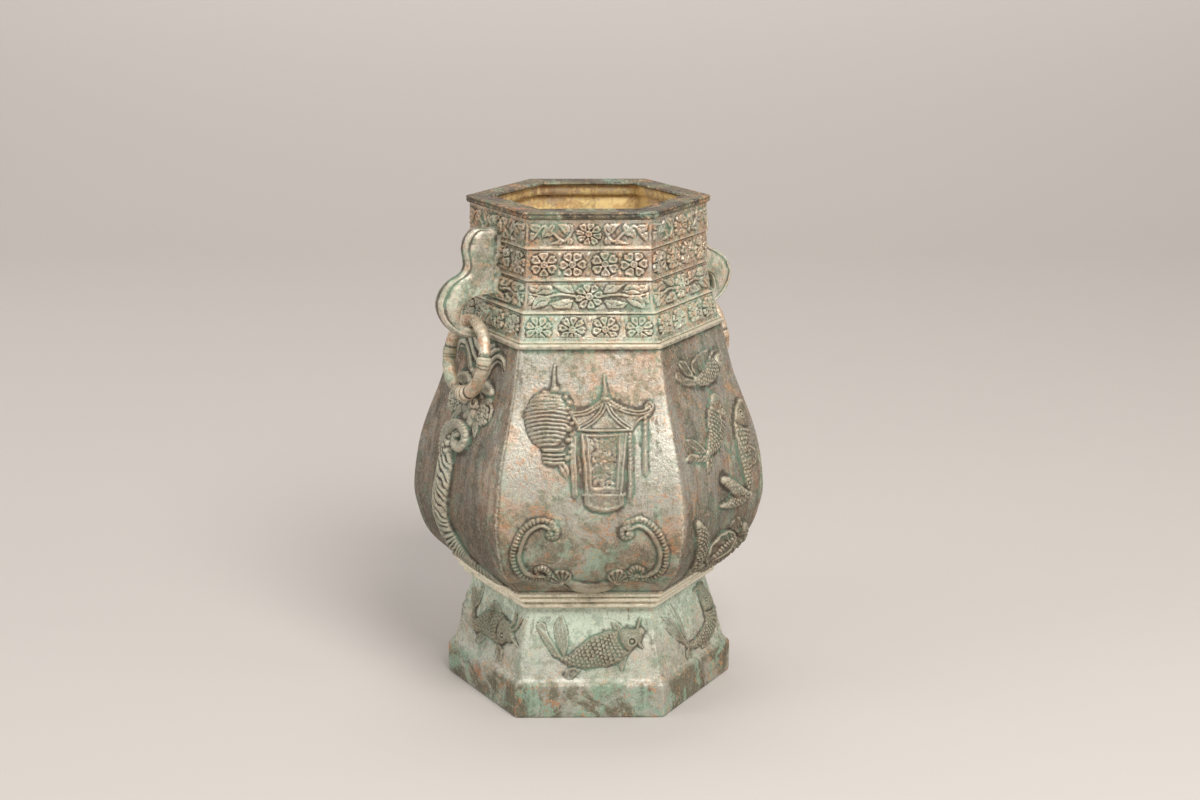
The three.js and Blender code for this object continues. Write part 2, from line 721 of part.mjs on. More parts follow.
function handleSide(side) {
  const group = new THREE.Group();
  group.rotation.z = side.angle;
  group.add(piece(`handle_${side.name}`, toGeometry(handleSolid()), fittingBronze));
  const rivetNames = ['upper', 'lower'];
  rivetLevels.forEach((level, i) => {
    group.add(piece(`handle_${side.name}_rivet_${rivetNames[i]}`, rivetGeometry(level), innerBronze));
  });
  const hang = new THREE.Group();
  hang.position.set(hinge.x, 0, hinge.y);
  hang.rotation.y = -ringLean();
  const ring = piece(`ring_${side.name}`, ringGeometry(), fittingBronze);
  ring.rotation.set(Math.PI / 2, Math.PI / 2, 0);
  ring.position.z = -ringRadius;
  hang.add(ring);
  group.add(hang);
  return group;
}

const vase = new THREE.Group();
vase.add(piece('lip_ring', lipGeometry(), neckBronze));
vase.add(piece('neck_collar', toGeometry(drilledNeck()), neckBronze));
vase.add(piece('belly', toGeometry(bellySolid()), bellyBronze));
vase.add(piece('waist_moulding', mouldingGeometry(), bellyBronze));
vase.add(piece('base_plate', plateGeometry(), innerBronze));
vase.add(piece('foot', toGeometry(footSolid()), footBronze));
sides.forEach((side) => vase.add(handleSide(side)));

export default vase;
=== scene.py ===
import json
import math
from statistics import NormalDist
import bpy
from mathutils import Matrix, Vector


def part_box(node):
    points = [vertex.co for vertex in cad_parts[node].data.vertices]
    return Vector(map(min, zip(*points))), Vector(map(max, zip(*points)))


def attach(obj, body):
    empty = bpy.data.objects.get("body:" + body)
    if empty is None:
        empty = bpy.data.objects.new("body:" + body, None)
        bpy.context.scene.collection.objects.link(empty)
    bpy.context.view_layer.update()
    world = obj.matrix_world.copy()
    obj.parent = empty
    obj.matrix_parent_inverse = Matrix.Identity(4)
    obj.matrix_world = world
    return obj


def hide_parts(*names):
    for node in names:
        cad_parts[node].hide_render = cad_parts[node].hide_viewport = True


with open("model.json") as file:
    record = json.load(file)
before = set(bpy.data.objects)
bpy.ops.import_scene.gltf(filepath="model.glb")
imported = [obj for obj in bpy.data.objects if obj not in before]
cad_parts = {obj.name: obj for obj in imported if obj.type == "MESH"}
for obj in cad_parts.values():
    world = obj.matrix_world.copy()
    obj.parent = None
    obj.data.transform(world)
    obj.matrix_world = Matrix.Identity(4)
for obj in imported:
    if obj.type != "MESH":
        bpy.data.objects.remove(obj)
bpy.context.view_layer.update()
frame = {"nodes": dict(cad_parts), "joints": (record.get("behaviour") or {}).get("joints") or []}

from types import SimpleNamespace

import bpy
import numpy as np
from bpy.props import FloatProperty, FloatVectorProperty, PointerProperty
from mathutils import Matrix, Vector

bl_info = {
    "name": "Six-sided bronze vase",
    "version": (1, 0, 0),
    "blender": (4, 5, 0),
    "location": "View3D > Sidebar > Vase",
    "description": "Builds a cast and patinated bronze vase with relief, handles and loose rings",
    "category": "Add Mesh",
}

MM = 0.001
BODY = "vase"


def box_mm(node):
    """Lowest and highest corner of a CAD node in millimetres."""
    low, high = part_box(node)
    return np.array(low) / MM, np.array(high) / MM


# Levels and radii that the frame gives, in millimetres
SKIRT_TOP = box_mm("waist_moulding")[0][2]
BELLY_FOOT = box_mm("waist_moulding")[1][2]
BELLY_TOP = box_mm("belly")[1][2]
NECK_TOP = box_mm("neck_collar")[1][2]
RIM_TOP = box_mm("lip_ring")[1][2]
PLINTH_RADIUS = box_mm("foot")[1][0]
MOULDING_RADIUS = box_mm("waist_moulding")[1][0]
BELLY_RADIUS = box_mm("belly")[1][0]
LIP_RADIUS = box_mm("lip_ring")[1][0]

SIDES = 6
FACE_COS = math.cos(math.pi / SIDES)
FACE_SIN = math.sin(math.pi / SIDES)
FACE_STEP = 2 * math.pi / SIDES
FRONT_ANGLE = -math.pi / 2
# The three kinds of face, counted from the front; opposite faces are alike
LANTERN_FACE, SHOAL_FACE, ROPE_FACE = 0, 1, 2
KINDS = 3
# Fine cells along one side of a coarse cell
BLOCK = 4


def paint(red, green, blue):
    """A colour given as it looks on screen, 0 to 255, as Blender's linear values."""
    shares = [value / 255 for value in (red, green, blue)]
    return tuple(s / 12.92 if s <= 0.04045 else ((s + 0.055) / 1.055) ** 2.4 for s in shares)


def length_prop(name, description, millimetres):
    """A length that a user may change, typed here in millimetres and kept in metres."""
    return FloatProperty(
        name=name, description=description, default=millimetres * MM, min=0.0, unit="LENGTH", precision=5,
    )


def colour_prop(name, description, colour):
    """A colour that a user may change."""
    return FloatVectorProperty(
        name=name, description=description, default=paint(*colour), subtype="COLOR",
        size=3, min=0.0, max=1.0,
    )


def power_prop(name, description, watts):
    """A lamp's power that a user may change."""
    return FloatProperty(name=name, description=description, default=watts, min=0.0, unit="POWER")


class VaseSizes(bpy.types.PropertyGroup):
    """Sizes of the castings' relief and of the fittings"""

    cell: length_prop("Fine cell", "Width of the fine cells on neck and foot", 0.62)
    belly_cell: length_prop("Belly cell", "Width of the fine cells on the belly", 0.68)
    belly_rounding: length_prop("Belly corner", "Rounding of the belly's six corners", 3.2)
    neck_rounding: length_prop("Neck corner", "Rounding of the neck's six corners", 2.2)
    lip_rounding: length_prop("Lip corner", "Rounding of the lip's six corners", 1.5)
    foot_rounding: length_prop("Foot corner", "Rounding of the foot's six corners", 1.8)
    wobble: length_prop("Hand-made wobble", "How far the cast walls wander", 0.22)
    grit: length_prop("Cast skin", "Height of the uneven skin on the relief", 0.1)
    lantern_rise: length_prop("Lantern relief", "How far the lanterns stand out", 2.3)
    scroll_rise: length_prop("Scroll relief", "How far the scrolls stand out", 2.4)
    rope_width: length_prop("Rope width", "Width of the rope scroll", 16.4)
    rope_rise: length_prop("Rope relief", "How far the rope scroll stands out", 5.2)
    mask_rise: length_prop("Mask relief", "How far the leaf masks stand out", 2.6)
    fish_rise: length_prop("Fish relief", "How far the belly's fish stand out", 3.6)
    carp_rise: length_prop("Carp relief", "How far the foot's carp stand out", 2.7)
    blossom_radius: length_prop("Blossom", "Radius of a blossom in a row of four", 8.1)
    blossom_rise: length_prop("Blossom relief", "How far the blossoms stand out", 1.6)
    handle_thickness: length_prop("Handle thickness", "Thickness of the scroll handles", 7.6)
    ring_lean: FloatProperty(
        name="Ring lean", description="How far a ring hangs off the plumb",
        default=math.radians(3.5), subtype="ANGLE",
    )
    ring_radius: length_prop("Ring radius", "From a ring's middle to the middle of its bar", 21.5)
    ring_bar: length_prop("Ring bar", "Radius of a ring's upper half", 3.5)
    ring_lower_bar: length_prop("Ring lower bar", "Radius of a ring's lower half", 3.9)


class VaseColours(bpy.types.PropertyGroup):
    """Colours of the patina"""

    grey: colour_prop("Grey", "Bare metal, worn grey", (194, 190, 177))
    pink: colour_prop("Pale copper", "Bare metal with a copper cast", (204, 178, 156))
    olive: colour_prop("Olive", "Thin brownish-green film", (136, 124, 96))
    verdigris: colour_prop("Verdigris", "Pale green crust", (156, 184, 160))
    teal: colour_prop("Teal", "Darker green in the low places", (94, 118, 98))
    mint: colour_prop("Mint", "Palest green bloom", (212, 226, 206))
    orange: colour_prop("Orange bloom", "Orange-brown crust", (192, 132, 86))
    # Umber also paints shade: in the hollows, on the faces beside the lantern faces and on the low parts
    umber: colour_prop("Umber", "Dark tone of streaks and recesses", (66, 57, 46))
    bark: colour_prop("Bark", "Dark olive-brown of figures and old patches", (100, 90, 64))
    # Worn metal also paints highlights: on corners, ridges, the handles' rims and the tallest relief
    shine: colour_prop("Worn metal", "Rubbed edges and crests", (228, 217, 192))
    ochre: colour_prop("Ochre", "Inside of the neck", (255, 226, 160))
    floor: colour_prop("Floor", "Colour of the floor", (196, 190, 185))
    backdrop: colour_prop("Backdrop", "Colour of the backdrop", (245, 237, 235))


class VaseStage(bpy.types.PropertyGroup):
    """Lamps and camera"""

    key_power: power_prop("Key lamp", "Power of the key lamp", 25.3)
    fill_power: power_prop("Fill lamp", "Power of the fill lamp", 6.0)
    side_power: power_prop("Side lamp", "Power of the side lamp", 2.8)
    back_power: power_prop("Back lamp", "Power of the lamp at the back", 3.5)
    backdrop_power: power_prop("Backdrop lamp", "Power of the lamp that lights the backdrop", 20.5)
    ambient: FloatProperty(name="Ambient", description="Strength of the even light", default=0.5, min=0)
    lens: FloatProperty(name="Lens", description="Focal length", default=63.945, min=1, unit="CAMERA")
    sensor: FloatProperty(
        name="Sensor width", description="Width of the camera's sensor", default=36, min=1, unit="CAMERA",
    )


def sizes():
    """The sizes that a user may change: lengths in millimetres, the lean in radians."""
    group = bpy.context.scene.vase_sizes
    values = {key: round(getattr(group, key) / MM, 4) for key in group.__annotations__}
    values["ring_lean"] = group.ring_lean
    return SimpleNamespace(**values)


def colours():
    """The colours that a user may change."""
    return bpy.context.scene.vase_colours


# Curves and noise on a face

def smooth_line(points, spans, closed=False):
    """A Catmull-Rom line through points, with a number of spans between neighbours."""
    points = np.asarray(points, float)
    if closed:
        padded = np.concatenate([points[-1:], points, points[:2]])
    else:
        padded = np.concatenate([2 * points[:1] - points[1:2], points, 2 * points[-1:] - points[-2:-1]])
    shares = np.arange(spans)[:, None] / spans
    pieces = []
    for a, b, c, d in zip(padded, padded[1:], padded[2:], padded[3:]):
        pieces.append(0.5 * (
            2 * b + (c - a) * shares
            + (2 * a - 5 * b + 4 * c - d) * shares ** 2
            + (3 * b - a - 3 * c + d) * shares ** 3
        ))
    if not closed:
        pieces.append(points[-1:])
    return np.concatenate(pieces)


class Line:
    """A smooth line on a face, in millimetres."""

    def __init__(self, points, spans=8):
        self.points = smooth_line(points, spans)
        self.steps = np.diff(self.points, axis=0)
        self.lengths = np.hypot(*self.steps.T)
        self.starts = np.concatenate([[0.0], np.cumsum(self.lengths)])
        self.length = self.starts[-1]

    def measure(self, x, z):
        """Run along the line and signed distance to its left, for samples x, z."""
        from_x = x[:, None] - self.points[:-1, 0]
        from_z = z[:, None] - self.points[:-1, 1]
        step_x, step_z = self.steps.T
        share = np.clip((from_x * step_x + from_z * step_z) / self.lengths ** 2, 0, 1)
        gap = (from_x - share * step_x) ** 2 + (from_z - share * step_z) ** 2
        best = gap.argmin(axis=1)
        take = np.arange(len(x))
        run = self.starts[best] + share[take, best] * self.lengths[best]
        side = np.sign(step_x * from_z - step_z * from_x)[take, best]
        return run, side * np.sqrt(gap[take, best])

    def at(self, share):
        """Point and direction at a share of the line's length."""
        run = share * self.length
        index = min(int(np.searchsorted(self.starts, run, side="right")) - 1, len(self.steps) - 1)
        direction = self.steps[index] / self.lengths[index]
        return self.points[index] + direction * (run - self.starts[index]), direction


def smoothstep(low, high, value):
    """0 up to low, 1 from high on, smooth between."""
    share = np.clip((value - low) / (high - low), 0, 1)
    return share * share * (3 - 2 * share)


def bell(value, middle, width):
    """1 at the middle, falling to a third at width from it."""
    return np.exp(-((value - middle) / width) ** 2)


def dome(share):
    """A half-round section: 1 in the middle, 0 where share reaches 1."""
    return np.sqrt(np.clip(1 - share ** 2, 0, 1))


def patch_noise(x, z, size, seed):
    """Smooth random values from -1 to 1 that change over about size millimetres."""
    count = 64
    table = np.random.default_rng(seed).uniform(-1, 1, (count, count))
    grid_x = np.asarray(x) / size
    grid_z = np.asarray(z) / size
    cell_x = np.floor(grid_x).astype(int)
    cell_z = np.floor(grid_z).astype(int)
    share_x = smoothstep(0, 1, grid_x - cell_x)
    share_z = smoothstep(0, 1, grid_z - cell_z)

    def row(step):
        first = table[cell_x % count, (cell_z + step) % count]
        second = table[(cell_x + 1) % count, (cell_z + step) % count]
        return first * (1 - share_x) + second * share_x

    return row(0) * (1 - share_z) + row(1) * share_z


# A height below every hollow
UNTOUCHED = -9


class Field:
    """Height of the relief over one face, sampled at x across and z up, in millimetres."""

    def __init__(self, x, z, seed):
        # An unsteady hand: lines wander by a third of a millimetre
        shake, spread = 0.35, 5.0
        self.x = x + shake * patch_noise(x, z, spread, seed)
        self.z = z + shake * patch_noise(x, z, spread, seed + 1)
        self.height = np.zeros_like(x)

    def near(self, points, reach):
        """Samples within reach of the box round points: their index, x and z."""
        points = np.asarray(points)
        low = points.min(axis=0) - reach
        high = points.max(axis=0) + reach
        inside = (self.x > low[0]) & (self.x < high[0]) & (self.z > low[1]) & (self.z < high[1])
        where = np.nonzero(inside.ravel())[0]
        return where, self.x.flat[where], self.z.flat[where]

    def lift(self, where, height):
        """The relief is at least as high as height at these samples; 0 leaves hollows as they are."""
        height = np.where(height == 0, UNTOUCHED, height)
        self.height.flat[where] = np.maximum(self.height.flat[where], height)

    def add(self, where, height):
        """Raises these samples by height."""
        self.height.flat[where] += height


# Figures of the relief

def mirrored(side, points):
    """Points with x turned over where side is -1."""
    return [(side * x, z) for x, z in points]


def strand(field, points, width, rise, ends=(0.6, 0.6), ribs=0.0, cut=0.0, lane=0.0):
    """A half-round bar along a line: ends are its widths there as shares of width, ribs is the pitch of
    grooves that go cut deep, and lane shifts the bar to the line's left."""
    line = Line(points)
    where, x, z = field.near(line.points, width + abs(lane))
    run, offset = line.measure(x, z)
    share = run / line.length
    taper = ends[0] + (1 - ends[0]) * smoothstep(0, 0.25, share)
    taper = taper * (ends[1] + (1 - ends[1]) * smoothstep(0, 0.25, 1 - share))
    across = (offset - lane) / (0.5 * width * taper)
    height = rise * taper * dome(across)
    if ribs:
        height = height * (1 - cut * (0.5 + 0.5 * np.cos(2 * math.pi * (run / ribs))))
    field.lift(where, height)


def polygon_depth(corners, x, z):
    """Distance inside a polygon's edge for samples x, z; below zero outside."""
    corners = np.asarray(corners, float)
    steps = np.roll(corners, -1, axis=0) - corners
    from_x = x[:, None] - corners[:, 0]
    from_z = z[:, None] - corners[:, 1]
    share = np.clip((from_x * steps[:, 0] + from_z * steps[:, 1]) / (steps ** 2).sum(axis=1), 0, 1)
    gap = np.hypot(from_x - share * steps[:, 0], from_z - share * steps[:, 1]).min(axis=1)
    below = corners[:, 1] <= z[:, None]
    above = np.roll(corners, -1, axis=0)[:, 1] <= z[:, None]
    crossing = corners[:, 0] + (z[:, None] - corners[:, 1]) * steps[:, 0] / np.where(
        steps[:, 1] == 0, 1e-9, steps[:, 1])
    inside = ((below != above) & (x[:, None] < crossing)).sum(axis=1) % 2 == 1
    return np.where(inside, gap, -gap)


def plate(field, corners, rise, edge, smooth=False):
    """A raised plate whose edge is rounded over a width of edge."""
    outline = smooth_line(corners, 6, closed=True) if smooth else np.asarray(corners, float)
    where, x, z = field.near(outline, 0.5)
    depth = polygon_depth(outline, x, z)
    slope = np.clip(depth / edge, 0, 1)
    field.lift(where, np.where(depth > 0, rise * np.sqrt(slope * (2 - slope)), 0))
    return where, x, z, depth


def sink(field, corners, depth, edge):
    """A pane that lies lower than the plate round it."""
    where, x, z = field.near(corners, 0.5)
    inside = polygon_depth(corners, x, z)
    field.add(where, -depth * smoothstep(0, edge, inside))
    return where, x, z, inside


def knob(field, place, half_width, half_height, rise, ring=0.0):
    """A round or oval button, with a groove ring deep round its middle."""
    half = np.array([half_width, half_height])
    where, x, z = field.near([place - half, place + half], 0.2)
    share = np.hypot((x - place[0]) / half_width, (z - place[1]) / half_height)
    height = rise * dome(share)
    if ring:
        height = height - ring * bell(share, 0.5, 0.14) * (share < 1)
    field.lift(where, np.maximum(height, 0))


def fan(field, root, rim, rise, ribs, cut=0.45):
    """A ribbed fan from a root to a curved rim: a fin, a tail lobe or a palmette."""
    rim = smooth_line(rim, 6)
    outline = np.concatenate([[root], rim])
    where, x, z = field.near(outline, 0.5)
    depth = polygon_depth(outline, x, z)
    angle = np.arctan2(z - root[1], x - root[0])
    first = math.atan2(*(rim[0] - root)[::-1])
    turn = (math.atan2(*(rim[-1] - root)[::-1]) - first + math.pi) % (2 * math.pi) - math.pi
    share = ((angle - first + math.pi) % (2 * math.pi) - math.pi) / turn
    reach = np.hypot(x - root[0], z - root[1]) / np.hypot(*(rim - root).T).mean()
    grooves = 0.5 - 0.5 * np.cos(2 * math.pi * ribs * share)
    shape = (1 - cut * (1 - grooves) * smoothstep(0.1, 0.5, reach)) * (1 - 0.35 * np.clip(reach, 0, 1))
    dish = 0.72 + 0.28 * bell(depth, 0.7, 0.6)
    field.lift(where, np.where(depth > 0, rise * shape * dish * dome(1 - np.clip(depth / 0.6, 0, 1)), 0))


def leaf(field, base, tip, width, rise, bend=0.0, veins=2.2):
    """A veined leaf from base to tip; bend bows it to its left, as a share of its length."""
    base, tip = np.array(base, float), np.array(tip, float)
    along = tip - base
    middle = 0.5 * (base + tip) + bend * np.array([-along[1], along[0]])
    line = Line([base, middle, tip], 6)
    where, x, z = field.near(line.points, width)
    run, offset = line.measure(x, z)
    share = np.clip(run / line.length, 0, 1)
    half = 0.5 * width * np.sin(math.pi * np.clip(share, 0.02, 0.98) ** 0.8) + 0.15
    across = offset / half
    vein = bell(offset, 0, 0.35)
    side_veins = 0.5 + 0.5 * np.cos(2 * math.pi * (run - 0.9 * np.abs(offset)) / veins)
    rim = smoothstep(0.55, 0.8, np.abs(across))
    height = rise * dome(across) ** 0.6 * (0.72 - 0.4 * vein + 0.14 * side_veins + 0.28 * rim)
    field.lift(where, np.where(np.abs(across) < 1, height, 0))


def blossom(field, place, radius, petals, rise, phase=0.0, squash=1.0):
    """A flower of dished petals with raised rims round a ringed centre.
    phase turns it, in radians, and squash is its height to its width."""
    half = np.array([radius, radius])
    where, x, z = field.near([place - half, place + half], 0.4)
    across, up = x - place[0], (z - place[1]) / squash
    reach = np.hypot(across, up) / radius
    sector = 2 * math.pi / petals
    turn = (np.arctan2(up, across) + phase) % sector - 0.5 * sector
    along = reach * np.cos(turn)
    side = np.abs(reach * np.sin(turn))
    # A petal's middle and half its length, as shares of the radius
    half_long, middle = 0.37, 0.64
    half_wide = 0.92 * middle * math.tan(0.5 * sector)
    notch = 0.12 * bell(side, 0, 0.1) * (along > middle)
    narrow = 1 - 0.4 * smoothstep(0.1, -0.3, along - middle)
    share = np.sqrt(((along - middle) / (half_long - notch)) ** 2 + (side / (half_wide * narrow)) ** 2)
    rim = bell(share, 0.78, 0.22)
    slope = dome(np.clip((share - 0.6) / 0.42, 0, 1)) ** 0.5
    petal = np.where(share < 1.0, (0.34 + 0.66 * rim) * slope, 0)
    centre = np.where(reach < 0.27, 0.2 + 0.8 * bell(reach, 0.2, 0.05), 0)
    centre = np.maximum(centre, np.where(reach < 0.12, 0.7 * dome(reach / 0.14), 0))
    shape = np.maximum(petal, centre)
    field.add(where, -0.5 * smoothstep(1.04, 0.9, reach) * (shape <= 0))
    field.lift(where, np.where(shape > 0, rise * shape, -1))


def scales(along, across, pitch):
    """Rows of overlapping round scales, 0 to 1, each highest at its rear edge over the next."""
    best = np.zeros_like(along)
    column = np.floor(along / pitch)
    for step in (0, 1):
        place = column + step
        shift = 0.5 * (place % 2)
        row = np.round(across / pitch - shift) + shift
        from_root = (along - (place - 1) * pitch) / (1.5 * pitch)
        side = (across - row * pitch) / (0.56 * pitch)
        rounded = np.clip(1 - side ** 2, 0, 1) ** 0.5
        lobe = np.where(from_root < 0.62 + 0.38 * rounded, 0.25 + 0.75 * from_root * rounded, 0)
        best = np.maximum(best, np.where(from_root > 0, lobe, 0))
    return best


def fish(field, spine, halves, rise, pitch=2.5, eye=0.0, head=0.26):
    """A fish's body along a spine from mouth to tail root.
    halves are its half depths at the spine's points, pitch is the scales', eye is the side that shows one,
    and head is the head's share of the length."""
    line = Line(spine, 10)
    where, x, z = field.near(line.points, max(halves))
    run, offset = line.measure(x, z)
    share = run / line.length
    marks, depths = smooth_line(np.column_stack([line.starts[::10] / line.length, halves]), 6).T
    half = np.interp(share, marks, depths)
    across = offset / half
    body = dome(across) ** 0.8
    ridge = rise * (0.45 + 0.55 * np.sqrt(half / max(halves)))
    covered = smoothstep(head, head + 0.02, share) * smoothstep(1.0, 0.8, np.abs(across))
    scaly = 2.1 * (scales(run, offset, pitch) - 0.75) * covered
    gill = bell(share, head - 0.05 * across ** 2, 0.018)
    cheek = bell(share, head - 0.07 - 0.05 * across ** 2, 0.035)
    height = ridge * body + scaly - 1.2 * gill * body + 0.6 * cheek * body
    field.lift(where, np.where(np.abs(across) < 1, np.maximum(height, 0.1), 0))
    if eye:
        point, direction = line.at(0.5 * head)
        place = point + eye * 0.3 * halves[2] * np.array([-direction[1], direction[0]])
        set_eye(field, place, max(0.13 * max(halves), 0.9))
    return line


def set_eye(field, place, size):
    """An eye on a fish's head: a bead in a groove in a raised ring."""
    where, x, z = field.near([place], 3 * size)
    reach = np.hypot(x - place[0], z - place[1]) / size
    groove = bell(reach, 1.2, 0.3)
    ring = bell(reach, 1.9, 0.35)
    field.add(where, 0.7 * dome(reach) - 0.9 * groove + 0.5 * ring)


def beads(field, points, count, size, rise):
    """A string of beads along a line."""
    line = Line(points)
    for i in range(count):
        place, _ = line.at((i + 0.5) / count)
        knob(field, place, size, size, rise)


# Relief of the belly

LANTERN_BEADS = (
    (-13.4, 196.2), (-11.4, 193.2), (-12.6, 190.2), (-10.2, 187.6), (-12, 184.6), (-9.9, 181.6),
    (-11.6, 178.6), (-9.6, 175.4), (-11.8, 172.6), (-9.8, 169.4), (-11.2, 166), (-12.6, 163),
)


def round_lantern(field, rise):
    """The round lantern: a ribbed paper ball between a cap with a spike and a collar with a tassel."""
    middle = np.array([-23.6, 184.0])
    half_width, half_height = 12.6, 15.6
    half = np.array([half_width, half_height])
    where, x, z = field.near([middle - half, middle + half], 0.5)
    x, z = x - middle[0], z - middle[1]
    rib_pitch = 2.25
    sag = 0.012 * x ** 2
    ribs = 0.5 + 0.5 * np.cos(2 * math.pi * (z + sag) / rib_pitch)
    reach = np.hypot(x / (half_width + 0.5 * ribs), z / half_height)
    ball = dome(reach) ** 0.75
    field.lift(where, ball * (0.66 + 0.34 * ribs) * rise * 1.25)
    cap = [(-22.6, 198.6), (-16.8, 198.6), (-17.4, 201.8), (-21.8, 201.8)]
    spike = [(-21.2, 201), (-18.3, 201), (-19.3, 214.2), (-20.2, 214.2)]
    collar = [(-27.4, 168.8), (-13.6, 168.8), (-15, 166.2), (-26, 166.2)]
    for corners, height, edge in ((cap, 0.9, 0.8), (spike, 0.7, 0.8), (collar, 0.95, 0.9)):
        plate(field, corners, height * rise, edge)
    for level in (165.2, 162.8, 160.6):
        strand(field, [(-25.8, level), (-20, level - 0.5), (-14.4, level)], 2.0, 0.8 * rise, (0.8, 0.8))
    leaf(field, (-17.2, 160.6), (-12.4, 152), 4.4, 0.75 * rise, 0.1, 1.6)
    for i, place in enumerate(LANTERN_BEADS):
        size = 1.9 + 0.35 * math.sin(2.4 * i)
        knob(field, place, size, 0.85 * size, (1.05 + 0.12 * math.cos(1.7 * i)) * rise)


ROOF = (
    (-7.6, 179.6), (-5.6, 177.4), (23.2, 177.4), (25.6, 179.4), (29.6, 183), (34.8, 185.6), (37, 189.4),
    (34.8, 192.4), (32.4, 191.6), (32.2, 189.6), (27, 189), (20.6, 189.6), (13.6, 192.6), (9.2, 195),
    (4.8, 192.8), (-1, 189.4), (-6, 188), (-10, 188.2), (-11.4, 186), (-9.6, 182.6),
)
ROOF_RIDGES = (
    ((9, 194), (6.6, 188), (1.4, 182.8), (-5.4, 179)),
    ((9.2, 194), (12.2, 188), (17.4, 182.8), (23.6, 178.9)),
    ((10, 194.2), (17.6, 189.8), (26, 187.4), (32.4, 188), (35.6, 190.2), (34.4, 192), (33, 190.8)),
    ((8.4, 194.2), (1.6, 189.6), (-4.4, 187), (-10, 186.8)),
)
# Bars of the lantern's frame: line, width, rise as a share, width of the ends as a share
LANTERN_BARS = (
    (((-6.6, 180.4), (-8.4, 183.4), (-10.4, 186)), 1.8, 0.9, 0.6),
    (((24.6, 180), (28.6, 183.6), (33.6, 186.4), (36.2, 188.6)), 1.8, 0.9, 0.6),
    (((-6.4, 178.2), (8, 177.7), (24.4, 178.2)), 2.0, 0.98, 0.8),
    (((-3.9, 176), (-1.4, 144)), 1.5, 0.98, 1),
    (((21, 176), (17.8, 144)), 1.5, 0.98, 1),
    (((-1.3, 175.6), (0.9, 146.2)), 1.5, 0.98, 1),
    (((17.5, 175.6), (15.9, 146.2)), 1.5, 0.98, 1),
    (((-1.4, 175.2), (8, 175), (17.6, 175.2)), 1.5, 0.98, 1),
    (((0.4, 146.2), (8, 145.9), (16.4, 146.2)), 1.5, 0.98, 1),
)
LANTERN_FOOT = (
    (-3.6, 143.6), (20.2, 143.6), (19.6, 136.8), (15.4, 133.8), (8.2, 132.6), (1.4, 133.6), (-2.6, 136.6),
)
LANTERN_FOOT_BARS = (
    (((-3.4, 142.8), (8.2, 142.2), (20, 142.8)), 1.7, 1.0, 1),
    (((-2.2, 137.4), (3, 135.4), (8.2, 134.7), (14, 135.4), (18.8, 137.4)), 2.2, 1.05, 0.9),
    (((-0.6, 142), (-0.4, 137)), 1.6, 0.98, 1),
    (((17.2, 142), (17.4, 137)), 1.6, 0.98, 1),
)


def bars(field, table, rise):
    """Plain bars from rows of line, width, rise as a share, and width of the ends as a share."""
    for line, width, share, end in table:
        strand(field, line, width, share * rise, (end, end))


def roof_lantern(field, rise):
    """The six-sided lantern: a flared roof with scrolled eaves over a framed window."""
    plate(field, ROOF, 0.52 * rise, 0.8)
    for ridge in ROOF_RIDGES:
        for lane in (-0.85, 0.85):
            strand(field, ridge, 1.5, 0.95 * rise, (0.9, 0.9), lane=lane)
    plate(field, [(5.8, 193.6), (12.6, 193.6), (11.8, 196), (6.6, 196)], 1.1 * rise, 0.8)
    plate(field, [(7.2, 195.6), (10.4, 195.6), (9.2, 208.8), (8.3, 208.8)], 0.75 * rise, 0.8)
    knob(field, (8.9, 197.6), 2.3, 1.2, 1.0 * rise)
    plate(field, [(-5.2, 176.6), (22.4, 176.6), (19.2, 143), (-2.8, 143)], 0.66 * rise, 0.9)
    bars(field, LANTERN_BARS, rise)
    window = [(-0.2, 174.4), (16.6, 174.4), (15.2, 147), (1.6, 147)]
    where, x, z, inside = sink(field, window, 0.22 * rise, 0.6)
    specks = patch_noise(x, z, 1.15, 31) + 0.6 * patch_noise(x, z, 0.8, 32)
    field.add(where, 0.17 * rise * specks * (inside > 0.6))
    plate(field, LANTERN_FOOT, 0.72 * rise, 0.9)
    bars(field, LANTERN_FOOT_BARS, rise)
    # Tassels: a plain one on the left, a beaded one on the right and one from the eaves
    strand(field, [(-8.7, 176), (-9.1, 160), (-8.4, 142.8)], 3.6, 0.62 * rise, (0.8, 0.8))
    for lane in (-1.1, 1.1):
        strand(field, [(-8.7, 174), (-9.1, 160), (-8.4, 143.4)], 1.1, 0.8 * rise, (1, 1), lane=lane)
    strand(field, [(23, 176), (23.3, 158), (22.8, 139.6)], 3.6, 0.62 * rise, (0.8, 0.8), ribs=2.3, cut=0.45)
    beads(field, [(23, 175), (23.3, 158), (22.8, 140.6)], 15, 1.3, 0.95 * rise)
    strand(field, [(31.9, 186.6), (31.8, 170), (31.9, 154.4)], 3.1, 0.66 * rise, (0.9, 0.8))
    beads(field, [(31.6, 186), (31.7, 174)], 4, 1.5, 0.95 * rise)


